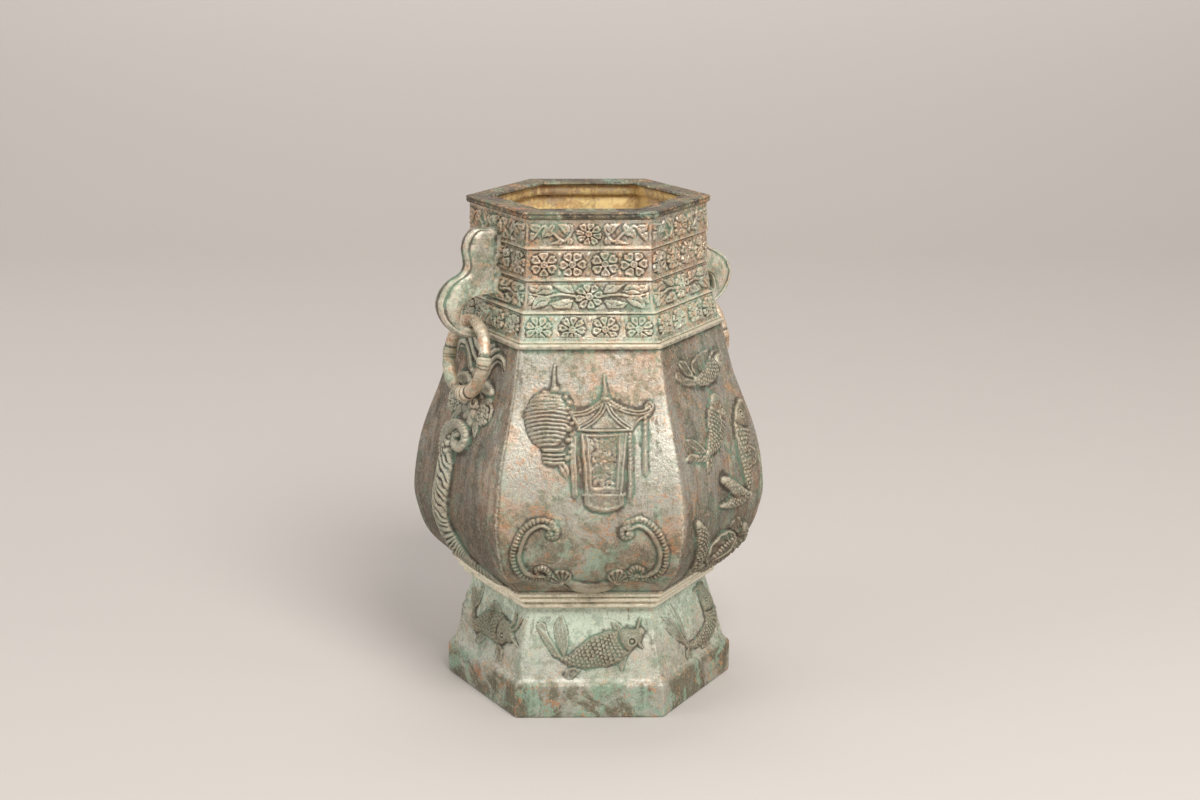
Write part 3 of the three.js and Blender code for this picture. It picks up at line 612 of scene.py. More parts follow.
def half_cartouche(field, side, rise):
    """One C scroll: a ribbed outer band, a smooth inner bar and curled, leafy ends."""
    band = mirrored(side, [
        (22, 124.6), (28.4, 126.6), (36.6, 121.2), (42, 108.4), (39.6, 96.4), (33.4, 91.4), (26.8, 91.2),
    ])
    strand(field, band, 3.9, 0.8 * rise, (0.8, 0.8), ribs=2.1, cut=0.5, lane=1.7 * side)
    strand(field, band, 3.0, 0.95 * rise, (0.8, 0.8), lane=-1.6 * side)
    curl = mirrored(side, [
        (22.6, 125), (18.8, 122.6), (19.4, 118.6), (23, 118.6), (23.6, 121.2), (21.6, 121.8),
    ])
    strand(field, curl, 3.4, 0.95 * rise, (0.8, 0.6), ribs=1.9, cut=0.3)
    knob(field, (21.7 * side, 120.6), 1.5, 1.5, 1.1 * rise)
    tail = mirrored(side, [
        (33, 91.2), (28.6, 90), (24.6, 91.8), (23.8, 95.8), (27.2, 98.4), (30.8, 97.2), (30, 94.6),
    ])
    strand(field, tail, 3.6, 1.05 * rise, (0.9, 0.6), ribs=1.7, cut=0.45)
    shell = mirrored(side, [
        (10.2, 91.2), (11.2, 94.6), (14.6, 96.8), (18.8, 96.6), (22, 93.6), (22.8, 89.6), (20.6, 86.4),
    ])
    fan(field, (15.6 * side, 87.6), shell, 1.3 * rise, 7, 0.6)


def cartouche(field, rise):
    """Two C scrolls joined by a bar with a beaded line above it."""
    for side in (-1, 1):
        half_cartouche(field, side, rise)
    bar = [(-13.4, 88.8), (-9, 85.6), (-4, 83.5), (1, 82.8), (6, 83.5), (11, 85.6), (15.4, 88.8)]
    strand(field, bar, 7.4, 1.5 * rise, (0.55, 0.55))
    strand(field, bar, 1.2, 0.6 * rise, (1, 1), ribs=1.5, cut=0.4, lane=-4.5)


ROPE_CURL = (
    (-15.4, 151), (-17.6, 157.6), (-14.6, 165.4), (-6, 169.6), (3, 168), (6.6, 163.4), (3, 158.6),
    (-4, 158.2), (-7.4, 161.6), (-3.4, 164.2),
)
ROPE = (
    (-13.6, 157), (-12, 150), (-11.4, 143), (-11.8, 136), (-13.4, 128), (-14.4, 119), (-13.2, 109),
    (-8.6, 101), (-2.2, 94.4), (4.8, 88.6), (13.8, 83.6), (22.8, 80.4),
)


def rope_scroll(field, width, rise):
    """A twisted rope that hangs down the face from a rolled-up end."""
    band = 0.44 * width
    strand(field, ROPE_CURL, band, 0.8 * rise, (0.7, 0.5))
    strand(field, ROPE_CURL, 0.3 * band, 0.9 * rise, (0.8, 0.5), ribs=2.1, cut=0.35, lane=0.3 * band)
    line = Line(ROPE)
    where, x, z = field.near(line.points, width)
    run, offset = line.measure(x, z)
    share = run / line.length
    taper = 0.66 + 0.34 * smoothstep(0, 0.14, share) - 0.42 * smoothstep(0.6, 1, share)
    across = offset / (0.5 * width * taper)
    # Strands lie closer and squarer to the rope towards its lower end
    lay = 4.8 - 1.6 * smoothstep(0.6, 0.9, share)
    slant = 1.35 - 0.95 * smoothstep(0.45, 0.7, share)
    loose = 0.35 * patch_noise(x, z, 4.0, 77)
    twist = np.abs(np.sin(math.pi * (run / lay - slant * across + loose)))
    height = rise * taper * dome(across) ** 0.8 * (0.5 + 0.5 * twist ** 0.6)
    field.lift(where, height)
    for place, size in (((-10.4, 157.6), 2.6), ((-14.2, 155.4), 2.1), ((-9.4, 153.4), 1.7)):
        knob(field, place, size, 0.85 * size, 0.85 * rise)


def curled_lobe(field, middle, radius, heading, width, rise):
    """A small leaf end that rolls up into a ball."""
    turns = np.linspace(0, 1.25 * 2 * math.pi, 9)
    reach = radius * (1 - 0.72 * turns / turns[-1])
    points = np.column_stack([
        middle[0] + reach * np.cos(heading + turns), middle[1] + 0.85 * reach * np.sin(heading + turns),
    ])
    strand(field, points, width, rise, (0.9, 0.7))


def ring_mask(field, rise):
    """The lumpy leaf mask that the ring rests on, below the handle."""
    mound = [(-19, 186), (-12, 199), (0, 204), (12, 199), (20, 186), (16, 174), (4, 169.6), (-10, 171)]
    where, x, z, depth = plate(field, mound, 0.3 * rise, 4, smooth=True)
    field.add(where, np.where(depth > 0, 0.35 * patch_noise(x, z, 3.2, 51), 0))
    random = np.random.default_rng(8)
    for i in range(34):
        turn = 2.4 * i
        reach = 4.2 * math.sqrt(i + 0.5) * 0.95
        place = (reach * math.cos(turn), 187 + 0.72 * reach * math.sin(turn))
        size = 1.7 + 1.7 * random.random()
        knob(field, place, 1.25 * size, size, rise * (0.5 + 0.3 * random.random()))
    for side in (-1, 1):
        flower = (side * 18.6, 180)
        blossom(field, flower, 6.4, 7, 0.95 * rise, 0.3)
        knob(field, flower, 2.0, 1.8, 1.1 * rise)
        horn = mirrored(side, [(9.6, 203), (13.6, 210), (20.4, 214.4), (27.6, 213.6), (29.6, 208.6)])
        strand(field, horn, 3.0, 0.85 * rise, (0.8, 0.4))
        strand(field, horn, 1.6, 0.6 * rise, (0.8, 0.4), lane=-side * 2.8)
        curled_lobe(field, (side * 9.6, 194), 4.6, 0.6 if side > 0 else 2.4, 2.6, 0.9 * rise)
        curled_lobe(field, (side * 5.4, 184.6), 4.0, 2.0 if side > 0 else 1.0, 2.6, 0.95 * rise)
        leaf(field, (side * 12, 176), (side * 15, 166.4), 5.6, 0.7 * rise, 0, 2.4)
        claw = mirrored(side, [(4.4, 195), (10.8, 199.4), (20.2, 197.4), (23, 192.8), (13.3, 191)])
        plate(field, claw, 1.05 * rise, 2.0, smooth=True)
        strand(field, mirrored(side, [(21, 188), (25.6, 184.6), (25.4, 178.6)]), 2.6, 0.6 * rise)
        strand(field, mirrored(side, [(6, 208), (14, 216), (19, 218.6)]), 3.6, 0.8 * rise)
    strand(field, [(-13, 219.6), (-6, 216), (0, 214.6), (6, 216), (13, 219.6)], 5.0, 0.7 * rise)


# Six fish and the shell below them: spine from mouth to tail root, half depths, side of the eye
SHOAL = (
    (((27, 205), (18, 200.6), (7, 197.8), (-4, 197.2), (-8, 198.6)), (3.2, 6, 6, 3.6, 1.6), 1),
    (((9.6, 181.4), (6.6, 174.5), (1.6, 168.3), (-4.2, 162.3), (-16.4, 156.6)),
     (5.6, 9.4, 9.4, 6.6, 1.8), 1),
    (((38, 173), (34, 167.3), (31, 158.8), (29.4, 148.5), (30, 132.8), (30.6, 121)),
     (4.4, 7.6, 9, 7, 4.4, 2), -1),
    (((-2, 137.8), (6, 133.4), (15, 127), (27, 121.8)), (2.8, 4.0, 4.6, 2.2), 0),
    (((28, 122), (16, 121.6), (5, 122.4), (-7, 123.6)), (2.6, 3.4, 3, 1.2), 0),
    (((-38, 121), (-30.6, 112), (-26, 102), (-24.6, 94), (-24, 87)), (3, 5.6, 6.4, 5.4, 3.6), 0),
    (((30, 99), (35, 90), (28, 80.6), (13, 79), (-8, 86)), (5, 7.6, 7.6, 6.4, 2.6), 0),
)
# Wings, tail lobes and small fins: root and rim
SHOAL_FINS = (
    ((3, 199), ((-5.4, 199.3), (-8.2, 204.4), (-5.7, 208.6), (5.2, 211.4), (14, 211), (12, 205))),
    ((15, 202.6), ((11.8, 205.5), (18, 209), (28.6, 209), (30, 205.4))),
    ((-7.4, 198.6), ((-11, 204.5), (-15.3, 210.8), (-22.6, 211.2), (-21.3, 206.6), (-15.7, 201.8))),
    ((-6.4, 197), ((-18, 202), (-26, 206.6), (-29.4, 203.4), (-22.5, 198.6), (-9, 194.6))),
    ((-16, 157.4), ((-20.3, 162), (-25.2, 167), (-35, 169.8), (-32, 165), (-25, 159.2))),
    ((-16, 156.4), ((-26.5, 159.4), (-35.5, 161.6), (-41, 159), (-34, 157), (-20, 153.4))),
    ((-16, 156.6), ((-11.6, 153), (-13, 149.6), (-18.4, 146.4), (-18.8, 152))),
    ((0, 172), ((3, 166), (-2.2, 160.4), (-9, 158.8), (-6.4, 165))),
    ((26, 97), ((9.4, 106), (12.5, 109.6), (22, 109), (29, 101))),
    ((33, 152), ((35, 150.4), (42.4, 147.4), (43.6, 141.3), (40.4, 137), (33, 140))),
)
SHELL = ((12, 86.6), (0, 86.2), (-10, 89.6), (-15, 97.4), (-10, 103.6), (2, 105.4), (13, 103), (19.6, 98))


def shoal(field, rise):
    """Six fish that swim up the face, over a shell."""
    for root, rim in SHOAL_FINS:
        fan(field, root, rim, 0.6 * rise, 4, 0.5)
    last = len(SHOAL) - 1
    for i, (spine, halves, eye) in enumerate(SHOAL):
        height, pitch = (1.2 * rise, 2.9) if i == last else (rise, 2.4)
        fish(field, spine, halves, height, pitch, eye, 0.24 if eye else 0.06)
    strand(field, [(8, 176), (4, 168), (-2, 162)], 1.8, 1.12 * rise, (0.7, 0.3), lane=-1.0)
    fan(field, (20, 90), SHELL, 1.3 * rise, 8, 0.35)
    beads(field, [(-8, 93), (3, 96.4), (14, 99)], 8, 0.85, 1.45 * rise)


# Relief of the foot

# The three postures of the carp: spine from mouth to tail root, half depths, side of the eye,
# fins as root and rim, and barbels
CARP_POSTURES = (
    (
        ((30, 50.2), (26.2, 47.6), (20.4, 45), (13, 41.4), (4.5, 39), (-3.9, 35.6), (-10.2, 34.2),
         (-16, 35)),
        (2.4, 4.8, 7.4, 9.3, 9.0, 6.7, 3.8, 1.3), 1,
        (
            ((-15.4, 35),
             ((-20.8, 36.2), (-26, 44), (-30.6, 52.6), (-29.2, 55.6), (-26, 54.4), (-24.4, 49),
              (-19.6, 41))),
            ((-15, 35.4),
             ((-19.4, 44), (-20.6, 52.6), (-17.5, 59), (-15, 57.6), (-13.2, 51.5), (-12.6, 43))),
            ((17.6, 50.6), ((14.4, 51.6), (13.2, 56.4), (15.7, 56.2), (20, 52.6))),
            ((19.4, 38), ((16.8, 36.6), (17, 32.4), (19.2, 27.8), (22, 36))),
            ((-9.4, 30.4), ((-13.6, 28.6), (-14.4, 24.8), (-11.8, 22.8), (-7.8, 25.6), (-5, 28.6))),
        ),
        (((28, 51), (29, 54.5), (30, 58.4)), ((28.6, 46), (29.4, 43.4), (31.2, 41.4))),
    ),
    (
        ((25, 58), (28, 50.6), (30.6, 41.6), (27, 34), (15, 30), (3, 29.6), (-5, 31.4)),
        (3.0, 6.2, 7.4, 6.2, 3.8, 2.4, 1.3), -1,
        (
            ((-4.4, 31.4), ((-12, 36), (-18.5, 42), (-27, 52.2), (-27.8, 55.4), (-16.3, 50.6), (-9.4, 41))),
            ((-4.4, 31.6), ((-7.8, 42), (-11.4, 52), (-14, 60), (-6.8, 51), (-4.4, 40))),
            ((-4, 31), ((-7, 28), (-6.8, 24.4), (-2.2, 23.2), (1, 28.6))),
            ((20, 30), ((14, 27), (13, 24), (20, 23), (25, 27))),
            ((34, 44), ((37.4, 47), (38.6, 42), (38, 37), (35, 38))),
        ),
        (((24, 58), (20, 58.6), (17, 57)), ((27, 57.6), (30, 59.6))),
    ),
    (
        ((24.6, 43.6), (19, 44.4), (11.6, 43.4), (2, 43.6), (-8, 41.6), (-17, 38), (-22.4, 41), (-24, 47)),
        (3.4, 6.4, 8.6, 8.4, 6.4, 3.6, 2.2, 1.2), 1,
        (
            ((-23.6, 45), ((-30.6, 50), (-31.6, 55), (-29, 57), (-26, 51))),
            ((-23.6, 45), ((-25.6, 54), (-22.6, 60), (-18.6, 59), (-20.4, 50))),
            ((14, 35.4), ((9.6, 32.4), (10.6, 28.6), (17.6, 26.4), (18.6, 33))),
            ((-8, 36), ((-13, 34), (-15.6, 28.6), (-10, 28.4), (-4, 34))),
            ((-2, 51), ((-7, 50.4), (-5.4, 55.8), (2, 56.6), (8, 52.4))),
        ),
        (
            ((24, 46), (29, 51), (32.6, 58)), ((25, 42.6), (30, 42), (34.4, 40.4)),
            ((22, 49), (25.4, 53), (24.6, 58)),
        ),
    ),
)


def carp(field, face, rise):
    """The carp on one face of the foot: its posture depends on the face."""
    spine, halves, side, fins, barbels = CARP_POSTURES[face]
    for root, rim in fins:
        fan(field, root, rim, 0.6 * rise, 5 if len(rim) > 5 else 3)
    line = fish(field, spine, halves, rise, 2.35, side, 0.27)
    for barbel in barbels:
        strand(field, barbel, 1.7, 0.62 * rise, (0.9, 0.4))
    mouth, _ = line.at(0.0)
    knob(field, mouth, 1.7, 1.5, 0.75 * rise, 0.5)


# Relief of the neck

# Sprays beside a band's flower, x in millimetres and z in half bands: stem with its width and rise,
# leaves from base to tip with their width and bend, and the pitch of the leaves' veins
LEAFY_SCROLL = (
    (((9, 0.3), (14, -0.55), (20, 0.1), (26, 0.6), (32, -0.3), (36, 0.2)), 1.7, 0.8),
    (
        ((12, 0.0), (17.6, 0.78), 4.2, 0.2), ((15, -0.5), (22.4, -0.74), 4.0, -0.2),
        ((20, 0.1), (26.4, -0.25), 4.6, 0.25), ((22, 0.3), (20.6, 0.86), 3.2, 0.1),
        ((27, 0.55), (33.6, 0.8), 4.4, -0.2), ((30, 0.0), (35, -0.78), 4.6, 0.2),
        ((10, 0.2), (11.4, 0.84), 3.0, 0.1), ((10.4, -0.3), (12, -0.86), 3.0, -0.1),
    ),
    1.7,
)
BIG_LEAVES = (
    (((8, 0.0), (16, 0.15), (24, 0.0), (34, 0.2)), 1.5, 0.85),
    (
        ((9.4, 0.3), (21, 0.86), 6.2, 0.12), ((9.6, -0.35), (21.6, -0.5), 6.6, -0.15),
        ((20, 0.35), (30.6, 0.2), 6.0, 0.2), ((22, -0.2), (32, -0.86), 6.2, 0.16),
        ((28, 0.6), (35, 0.86), 4.4, -0.1), ((31, -0.1), (37, -0.5), 4.6, 0.1),
        ((12, -0.7), (17, -0.92), 3.4, 0.0),
    ),
    2.0,
)


def spray(field, kind, level, band, side, rise):
    """A stem with leaves from the middle of a band to one of its ends."""
    (stem, stem_width, stem_rise), leaves, veins = kind
    half = 0.5 * band

    def place(x, z):
        return side * x, level + half * z

    strand(field, [place(*point) for point in stem], stem_width, stem_rise * rise, (0.9, 0.7))
    for base, tip, width, bend in leaves:
        leaf(field, place(*base), place(*tip), width, rise, side * bend, veins)


def neck_bands(field, face, radius, rise):
    """Rows of four blossoms in the first and third band, a flower between sprays in the others."""
    for i, (low, high) in enumerate(NECK_BANDS):
        level = 0.5 * (low + high)
        height = high - low
        if i % 2 == 0:
            pitch, petals = (19.0, 8) if i == 0 else (17.4, 6)
            for k in range(4):
                x = (k - 1.5) * pitch + 0.5 * math.sin(3.1 * k + i + face)
                blossom(field, (x, level), radius, petals, rise, 0.5 * k + face, 0.96)
                if k < 3:
                    for up in (-0.34, 0.34):
                        knob(field, (x + 0.5 * pitch, level + up * height), 1.1, 1.4, 0.55 * rise)
        else:
            wide, kind = (8.8, BIG_LEAVES) if i == 1 else (7.8, LEAFY_SCROLL)
            blossom(field, (0, level), wide, 8, rise * 1.05, 0.2 * i, min(1.0, 0.49 * height / wide))
            for side in (-1, 1):
                spray(field, kind, level, height, side, rise)


def roughen(field, amount):
    """Lumps on what is already raised."""
    lumps = patch_noise(field.x, field.z, 2.4, 64) + 0.7 * patch_noise(field.x, field.z, 1.4, 65)
    field.height += amount * lumps * (field.height > 0.1)


# Leaves at the handle's root: base, tip and width
ROOT_LEAVES = (
    ((3, 243), (12, 236), 7), ((3, 238), (10, 229), 6), ((3, 249), (13, 246), 6),
    ((3, 256), (11, 258), 5.5), ((3, 268), (11, 272), 6), ((3, 276), (10, 283), 6),
    ((3, 262), (10, 265), 5), ((2, 284), (6, 291), 5),
)


def handle_leaves(field, rise):
    """The uneven leaves at the handle's root."""
    where, x, z = field.near([(-15, 227), (15, 294)], 0)
    lumps = patch_noise(x, z, 4.2, 61) + 0.7 * patch_noise(x, z, 2.3, 62)
    field.add(where, rise * 0.8 * lumps * smoothstep(17, 9, np.abs(x)))
    where, x, z = field.near([(-40, 226), (40, 294)], 0)
    field.add(where, 0.4 * patch_noise(x, z, 2.4, 63))
    for side in (-1, 1):
        for base, tip, width in ROOT_LEAVES:
            base, tip = mirrored(side, [base, tip])
            leaf(field, base, tip, width, rise, -0.1 * side, 2.2)


# Cast walls

def soften(points, radius):
    """Points of an open profile with each inner corner rounded by a short curve."""
    points = [np.array(p, float) for p in points]
    result = [points[0]]
    for before, corner, after in zip(points, points[1:], points[2:]):
        legs = [before - corner, after - corner]
        lengths = [np.hypot(*leg) for leg in legs]
        trims = [min(radius, 0.45 * length) for length in lengths]
        first = corner + legs[0] / lengths[0] * trims[0]
        last = corner + legs[1] / lengths[1] * trims[1]
        for share in (0, 0.5, 1):
            result.append((1 - share) ** 2 * first + 2 * share * (1 - share) * corner + share ** 2 * last)
    result.append(points[-1])
    return result


def divide(points, spacing):
    """Stations along a polyline, close to a spacing apart, that keep its corners."""
    stations = []
    for first, last in zip(points, points[1:]):
        count = max(1, round(float(np.hypot(*(np.subtract(last, first)))) / spacing))
        stations.extend(first + (np.subtract(last, first)) * i / count for i in range(count))
    return stations + [np.array(points[-1], float)]


# Relief lower than this needs no fine cells
FLAT = 0.02
# Rounding of a wall's corners inside
INNER_ROUNDING = 1.5
# How far a corner's rows turn from each of its two faces
CORNER_TURN = math.radians(15)
# How brightly the rows round a corner are painted, BLOCK - 1 rows: partly rubbed metal, partly a painted
# highlight along the corner
CORNER_SHINE = (0.12, 0.32, 0.12)


def blur(values, times):
    """Mean of near samples along the first two axes."""
    for _ in range(times):
        padded = np.pad(values, ((1, 1), (1, 1)), mode="edge")
        inside = padded[1:-1, 1:-1]
        beside = padded[:-2, 1:-1] + padded[2:, 1:-1] + padded[1:-1, :-2] + padded[1:-1, 2:]
        values = (inside * 2 + beside) / 6
    return values


class Casting:
    """A closed profile carried round the six sides, with relief on its outer faces."""

    def __init__(self, outside, inside, rounding, width, cell):
        """outside and inside are lists of (radius, level) that close on each other.
        rounding is the corners' radius, a number or a function of the level, width is the widest face
        and cell the size of the fine cells."""
        spacing = BLOCK * cell
        outer = divide(outside, spacing)
        inner = divide(inside, 4 * spacing)
        stations = np.array(outer + inner)
        ahead = np.roll(stations, -1, axis=0)
        shares = np.arange(BLOCK)[:, None] / BLOCK
        rows = np.concatenate([a + (b - a) * shares for a, b in zip(stations, ahead)])
        self.radius, self.level = rows.T
        self.outer_rows = BLOCK * (len(outer) - 1) + 1
        across = np.column_stack([FACE_COS * self.radius, self.level])
        along = np.roll(across, -1, axis=0) - np.roll(across, 1, axis=0)
        normal = np.column_stack([along[:, 1], -along[:, 0]])
        self.normal = normal / np.maximum(np.hypot(*normal.T), 1e-6)[:, None]
        corner = rounding(self.level) if callable(rounding) else rounding
        self.rounding = np.minimum(corner, 0.3 * self.radius)
        self.rounding[self.outer_rows:] = INNER_ROUNDING
        self.edge = 0.5 * self.radius - FACE_SIN / FACE_COS * self.rounding
        self.blocks = max(2, round(width / spacing))
        self.flats = self.blocks * BLOCK + 1
        self.share = np.linspace(-1, 1, self.flats)
        self.x = self.edge[:, None] * self.share[None, :]
        self.z = np.repeat(self.level[:, None], self.flats, axis=1)
        self.heights = np.zeros((len(rows), SIDES, self.flats))
        self.bends = np.hypot(*(np.roll(across, -1, axis=0) - across).T) < 0.4 * cell
        self.profile_crest = self.measure_profile(across)

    def measure_profile(self, across):
        """How far each row stands out of the mean of the rows within a short reach."""
        reach = 1.6
        run = np.concatenate([[0], np.cumsum(np.hypot(*np.diff(across, axis=0).T))])
        crest = np.zeros(len(across))
        samples = np.linspace(-reach, reach, 9)
        for i, place in enumerate(run):
            mean_out = np.interp(place + samples, run, across[:, 0]).mean()
            mean_up = np.interp(place + samples, run, across[:, 1]).mean()
            crest[i] = (across[i] - (mean_out, mean_up)) @ self.normal[i]
        return crest

    def carve(self, draw, margin, seed, plain_bends=False):
        """draw(field, face) puts relief on a face and on the opposite one.
        It fades out over margin at the corners and, with plain_bends, at the ridges."""
        end_fade, bend_fade = 1.2, 0.9
        rows = slice(0, self.outer_rows)
        x, z = self.x[rows], self.z[rows]
        gap = self.edge[rows, None] - np.abs(x)
        window = smoothstep(0, margin, gap)
        window = window * smoothstep(0, end_fade, z - z.min()) * smoothstep(0, end_fade, z.max() - z)
        if plain_bends:
            levels = self.level[rows]
            gap = np.abs(levels[:, None] - levels[self.bends[rows]]).min(axis=1)
            window = window * smoothstep(0, bend_fade, gap)[:, None]
        grit = sizes().grit
        for face in range(KINDS):
            field = Field(x, z, seed + 10 * face)
            draw(field, face)
            skin = patch_noise(x, z, 1.6, seed + 5) + 0.6 * patch_noise(x, z, 3.1, seed + 6)
            height = (field.height + grit * skin * (field.height > 0.15)) * window
            for alike in (face, face + KINDS):
                self.heights[rows, alike] = height

    def mesh(self, name):
        """The wall as one closed mesh: fine cells under the relief, coarse ones elsewhere."""
        row_count = len(self.radius)
        face_columns = self.flats + BLOCK - 1
        columns = SIDES * face_columns
        position = np.zeros((row_count, columns, 3))
        crest = np.zeros((row_count, columns))
        raised = np.zeros((row_count, columns))
        # Ridges and ledges of the profile are painted brighter through edge: partly rubbed metal, partly
        # painted highlight
        edge = np.repeat(np.maximum(self.profile_crest, 0)[:, None], columns, axis=1)
        # Hollows of the profile join the crest's low values and are painted darker: partly patina, partly
        # painted shade
        sunk = 0.7 * np.minimum(self.profile_crest, 0)
        for face in range(SIDES):
            angle = FRONT_ANGLE + face * FACE_STEP
            first = face * face_columns
            height = self.heights[:, face]
            # What stands out of its near and its wider surroundings; the material rubs what stands out
            # bright and paints the ground round the relief darker, partly patina and partly painted shade
            fine = height - blur(height, 4)
            broad = height - blur(height, 24)
            flat = slice(first, first + self.flats)
            position[:, flat] = self.place(angle, self.x, 0 * self.x, height)
            crest[:, flat] = fine + 0.3 * broad + sunk[:, None]
            raised[:, flat] = height
            # Three columns round the corner: two turn from this face, the last from the next one
            for k, shine in enumerate(CORNER_SHINE, 1):
                side, on_face, turn = 1, angle, k * CORNER_TURN
                if k == BLOCK - 1:
                    side, on_face, turn = -1, angle + FACE_STEP, -CORNER_TURN
                x = (side * self.edge + self.rounding * math.sin(turn))[:, None]
                back = -(self.rounding * (1 - math.cos(turn)))[:, None]
                column = first + self.flats - 1 + k
                position[:, column] = self.place(on_face, x, back, 0 * x)[:, 0]
                crest[:, column] = sunk
                # The rows round a corner are painted brighter: partly rubbed metal, partly a painted
                # highlight along the corner
                edge[:, column] += shine
        position += self.wobble(position)
        faces = self.cells(row_count, columns, face_columns)
        inner = np.zeros((row_count, columns))
        inner[self.outer_rows:] = 1
        # roped fades out towards each rope face's corner beside a lantern face, so the painted shade there
        # lifts
        return build_mesh(name, position.reshape(-1, 3), faces, {
            "crest": crest.ravel(), "raised": raised.ravel(), "edge": edge.ravel(), "inner": inner.ravel(),
            "panel": self.panel_values(row_count, face_columns, LANTERN_FACE, 0.0),
            "roped": self.panel_values(row_count, face_columns, ROPE_FACE, 1.0),
        })

    def place(self, angle, x, back, height):
        """Positions for samples x across, moved back and raised by height along the wall's normal."""
        out = FACE_COS * self.radius[:, None] + back + height * self.normal[:, :1]
        level = self.level[:, None] + height * self.normal[:, 1:]
        outward = (math.cos(angle), math.sin(angle))
        sideways = (-math.sin(angle), math.cos(angle))
        return np.stack([
            outward[0] * out + sideways[0] * x, outward[1] * out + sideways[1] * x, level + 0 * x,
        ], axis=-1)

    def wobble(self, position):
        """Slow hand-made unevenness, level with the ground."""
        x, y, z = (position[..., i] for i in range(3))
        slow = np.sin(x / 19 + 0.7) * np.cos(z / 27 + 0.4) + np.sin(y / 16 + 2.1) * np.sin(z / 22 + 1.2)
        quick = np.sin(x / 6.1 + z / 9 + 0.3) * np.sin(y / 5.3 - z / 7.7 + 1.1)
        amount = sizes().wobble * (0.6 * slow + 0.35 * quick)
        # The foot and the rim stay flat
        fade = smoothstep(0, 6, z) * smoothstep(0, 2, RIM_TOP - z)
        reach = np.maximum(np.hypot(x, y), 1)
        return np.stack([amount * fade * x / reach, amount * fade * y / reach, 0 * z], axis=-1)

    def panel_values(self, row_count, face_columns, kind, fade):
        """1 on the two faces of a kind, less by fade towards their last corner, 0 on the others."""
        values = np.zeros(SIDES * face_columns)
        across = 1 - fade * smoothstep(0.3, 0.95, np.append(self.share, 1.0))
        for face in (kind, kind + KINDS):
            values[face * face_columns:face * face_columns + self.flats + 1] = across
        return np.tile(values, row_count)

    def cells(self, row_count, columns, face_columns):
        """Faces of the grid, as lists of vertex numbers."""
        coarse_rows = row_count // BLOCK
        coarse_columns = columns // BLOCK
        active = np.zeros((coarse_rows, coarse_columns), bool)
        per_face = face_columns // BLOCK
        active[:, per_face - 1::per_face] = True
        for face in range(SIDES):
            tall = np.abs(self.heights[:, face])
            tall = np.concatenate([tall, tall[:1]])
            for column in range(self.blocks):
                part = tall[:, column * BLOCK:(column + 1) * BLOCK + 1].max(axis=1)
                blocks = part[:-1].reshape(coarse_rows, BLOCK).max(axis=1)
                active[:, face * per_face + column] = np.maximum(blocks, part[BLOCK::BLOCK]) > FLAT

        def number(row, column):
            return (row % row_count) * columns + column % columns

        rows, cols = np.nonzero(active)
        down, right = np.meshgrid(np.arange(BLOCK), np.arange(BLOCK), indexing="ij")
        row = (rows[:, None, None] * BLOCK + down).reshape(-1)
        col = (cols[:, None, None] * BLOCK + right).reshape(-1)
        quads = np.column_stack([
            number(row, col), number(row, col + 1), number(row + 1, col + 1), number(row + 1, col),
        ]).tolist()
        for i, j in zip(*np.nonzero(~active)):
            top, left = i * BLOCK, j * BLOCK
            # A coarse cell's four sides: first corner, step along it, and whether fine cells lie beyond
            sides = (
                (top, left, 0, 1, active[i - 1, j]),
                (top, left + BLOCK, 1, 0, active[i, (j + 1) % coarse_columns]),
                (top + BLOCK, left + BLOCK, 0, -1, active[(i + 1) % coarse_rows, j]),
                (top + BLOCK, left, -1, 0, active[i, j - 1]),
            )
            quads.append([
                number(row + k * down, col + k * right)
                for row, col, down, right, fine in sides for k in range(BLOCK if fine else 1)
            ])
        return quads


def build_mesh(name, points, faces, values=None):
    """A smooth-shaded object in metres from points in millimetres; loose points are left out."""
    flat = np.concatenate([np.asarray(face) for face in faces])
    used = np.unique(flat)
    renumber = np.full(len(points), -1)
    renumber[used] = np.arange(len(used))
    mesh = bpy.data.meshes.new(name)
    counts = np.array([len(face) for face in faces])
    starts = np.concatenate([[0], np.cumsum(counts)[:-1]])
    mesh.vertices.add(len(used))
    mesh.vertices.foreach_set("co", (points[used] * MM).astype(np.float32).ravel())
    mesh.loops.add(len(flat))
    mesh.loops.foreach_set("vertex_index", renumber[flat].astype(np.int32))
    mesh.polygons.add(len(faces))
    mesh.polygons.foreach_set("loop_start", starts.astype(np.int32))
    mesh.polygons.foreach_set("use_smooth", np.ones(len(faces), bool))
    mesh.update(calc_edges=True)
    for key, data in (values or {}).items():
        layer = mesh.attributes.new(key, "FLOAT", "POINT")
        layer.data.foreach_set("value", data[used].astype(np.float32))
    mesh.validate()
    obj = bpy.data.objects.new(name, mesh)
    bpy.context.scene.collection.objects.link(obj)
    return obj


# Profiles of the castings, as (radius at the corner, level)

def foot_profile():
    """Plinth and flared skirt, open below."""
    outside = soften([
        (PLINTH_RADIUS - 1.2, 0), (PLINTH_RADIUS, 0.9), (PLINTH_RADIUS, 19), (PLINTH_RADIUS - 0.7, 20.6),
        (PLINTH_RADIUS - 2.6, 21.8), (84.8, 22.4), (83.4, 23.8), (82.5, 27.0), (79.0, 41), (73.6, 57.5),
        (71.9, 62.4), (72.6, SKIRT_TOP),
    ], 2.0)
    inside = [(66.6, SKIRT_TOP), (66.6, 60), (78, 24), (82.2, 18), (82.2, 0.4)]
    return outside, inside


def moulding_profile():
    """Three ridges, each wider than the one below it."""
    low, high = SKIRT_TOP, BELLY_FOOT
    crest = MOULDING_RADIUS
    outside = soften([
        (73.2, low), (77.6, low + 0.6), (77.8, low + 3.1), (74.8, low + 4.2), (80.9, low + 5.0),
        (81.1, low + 7.3), (78.4, low + 8.3), (crest, low + 9.0), (crest, high), (crest - 2.5, high),
    ], 1.0)
    inside = [(crest - 6, high), (70, high), (70, low)]
    return outside, inside


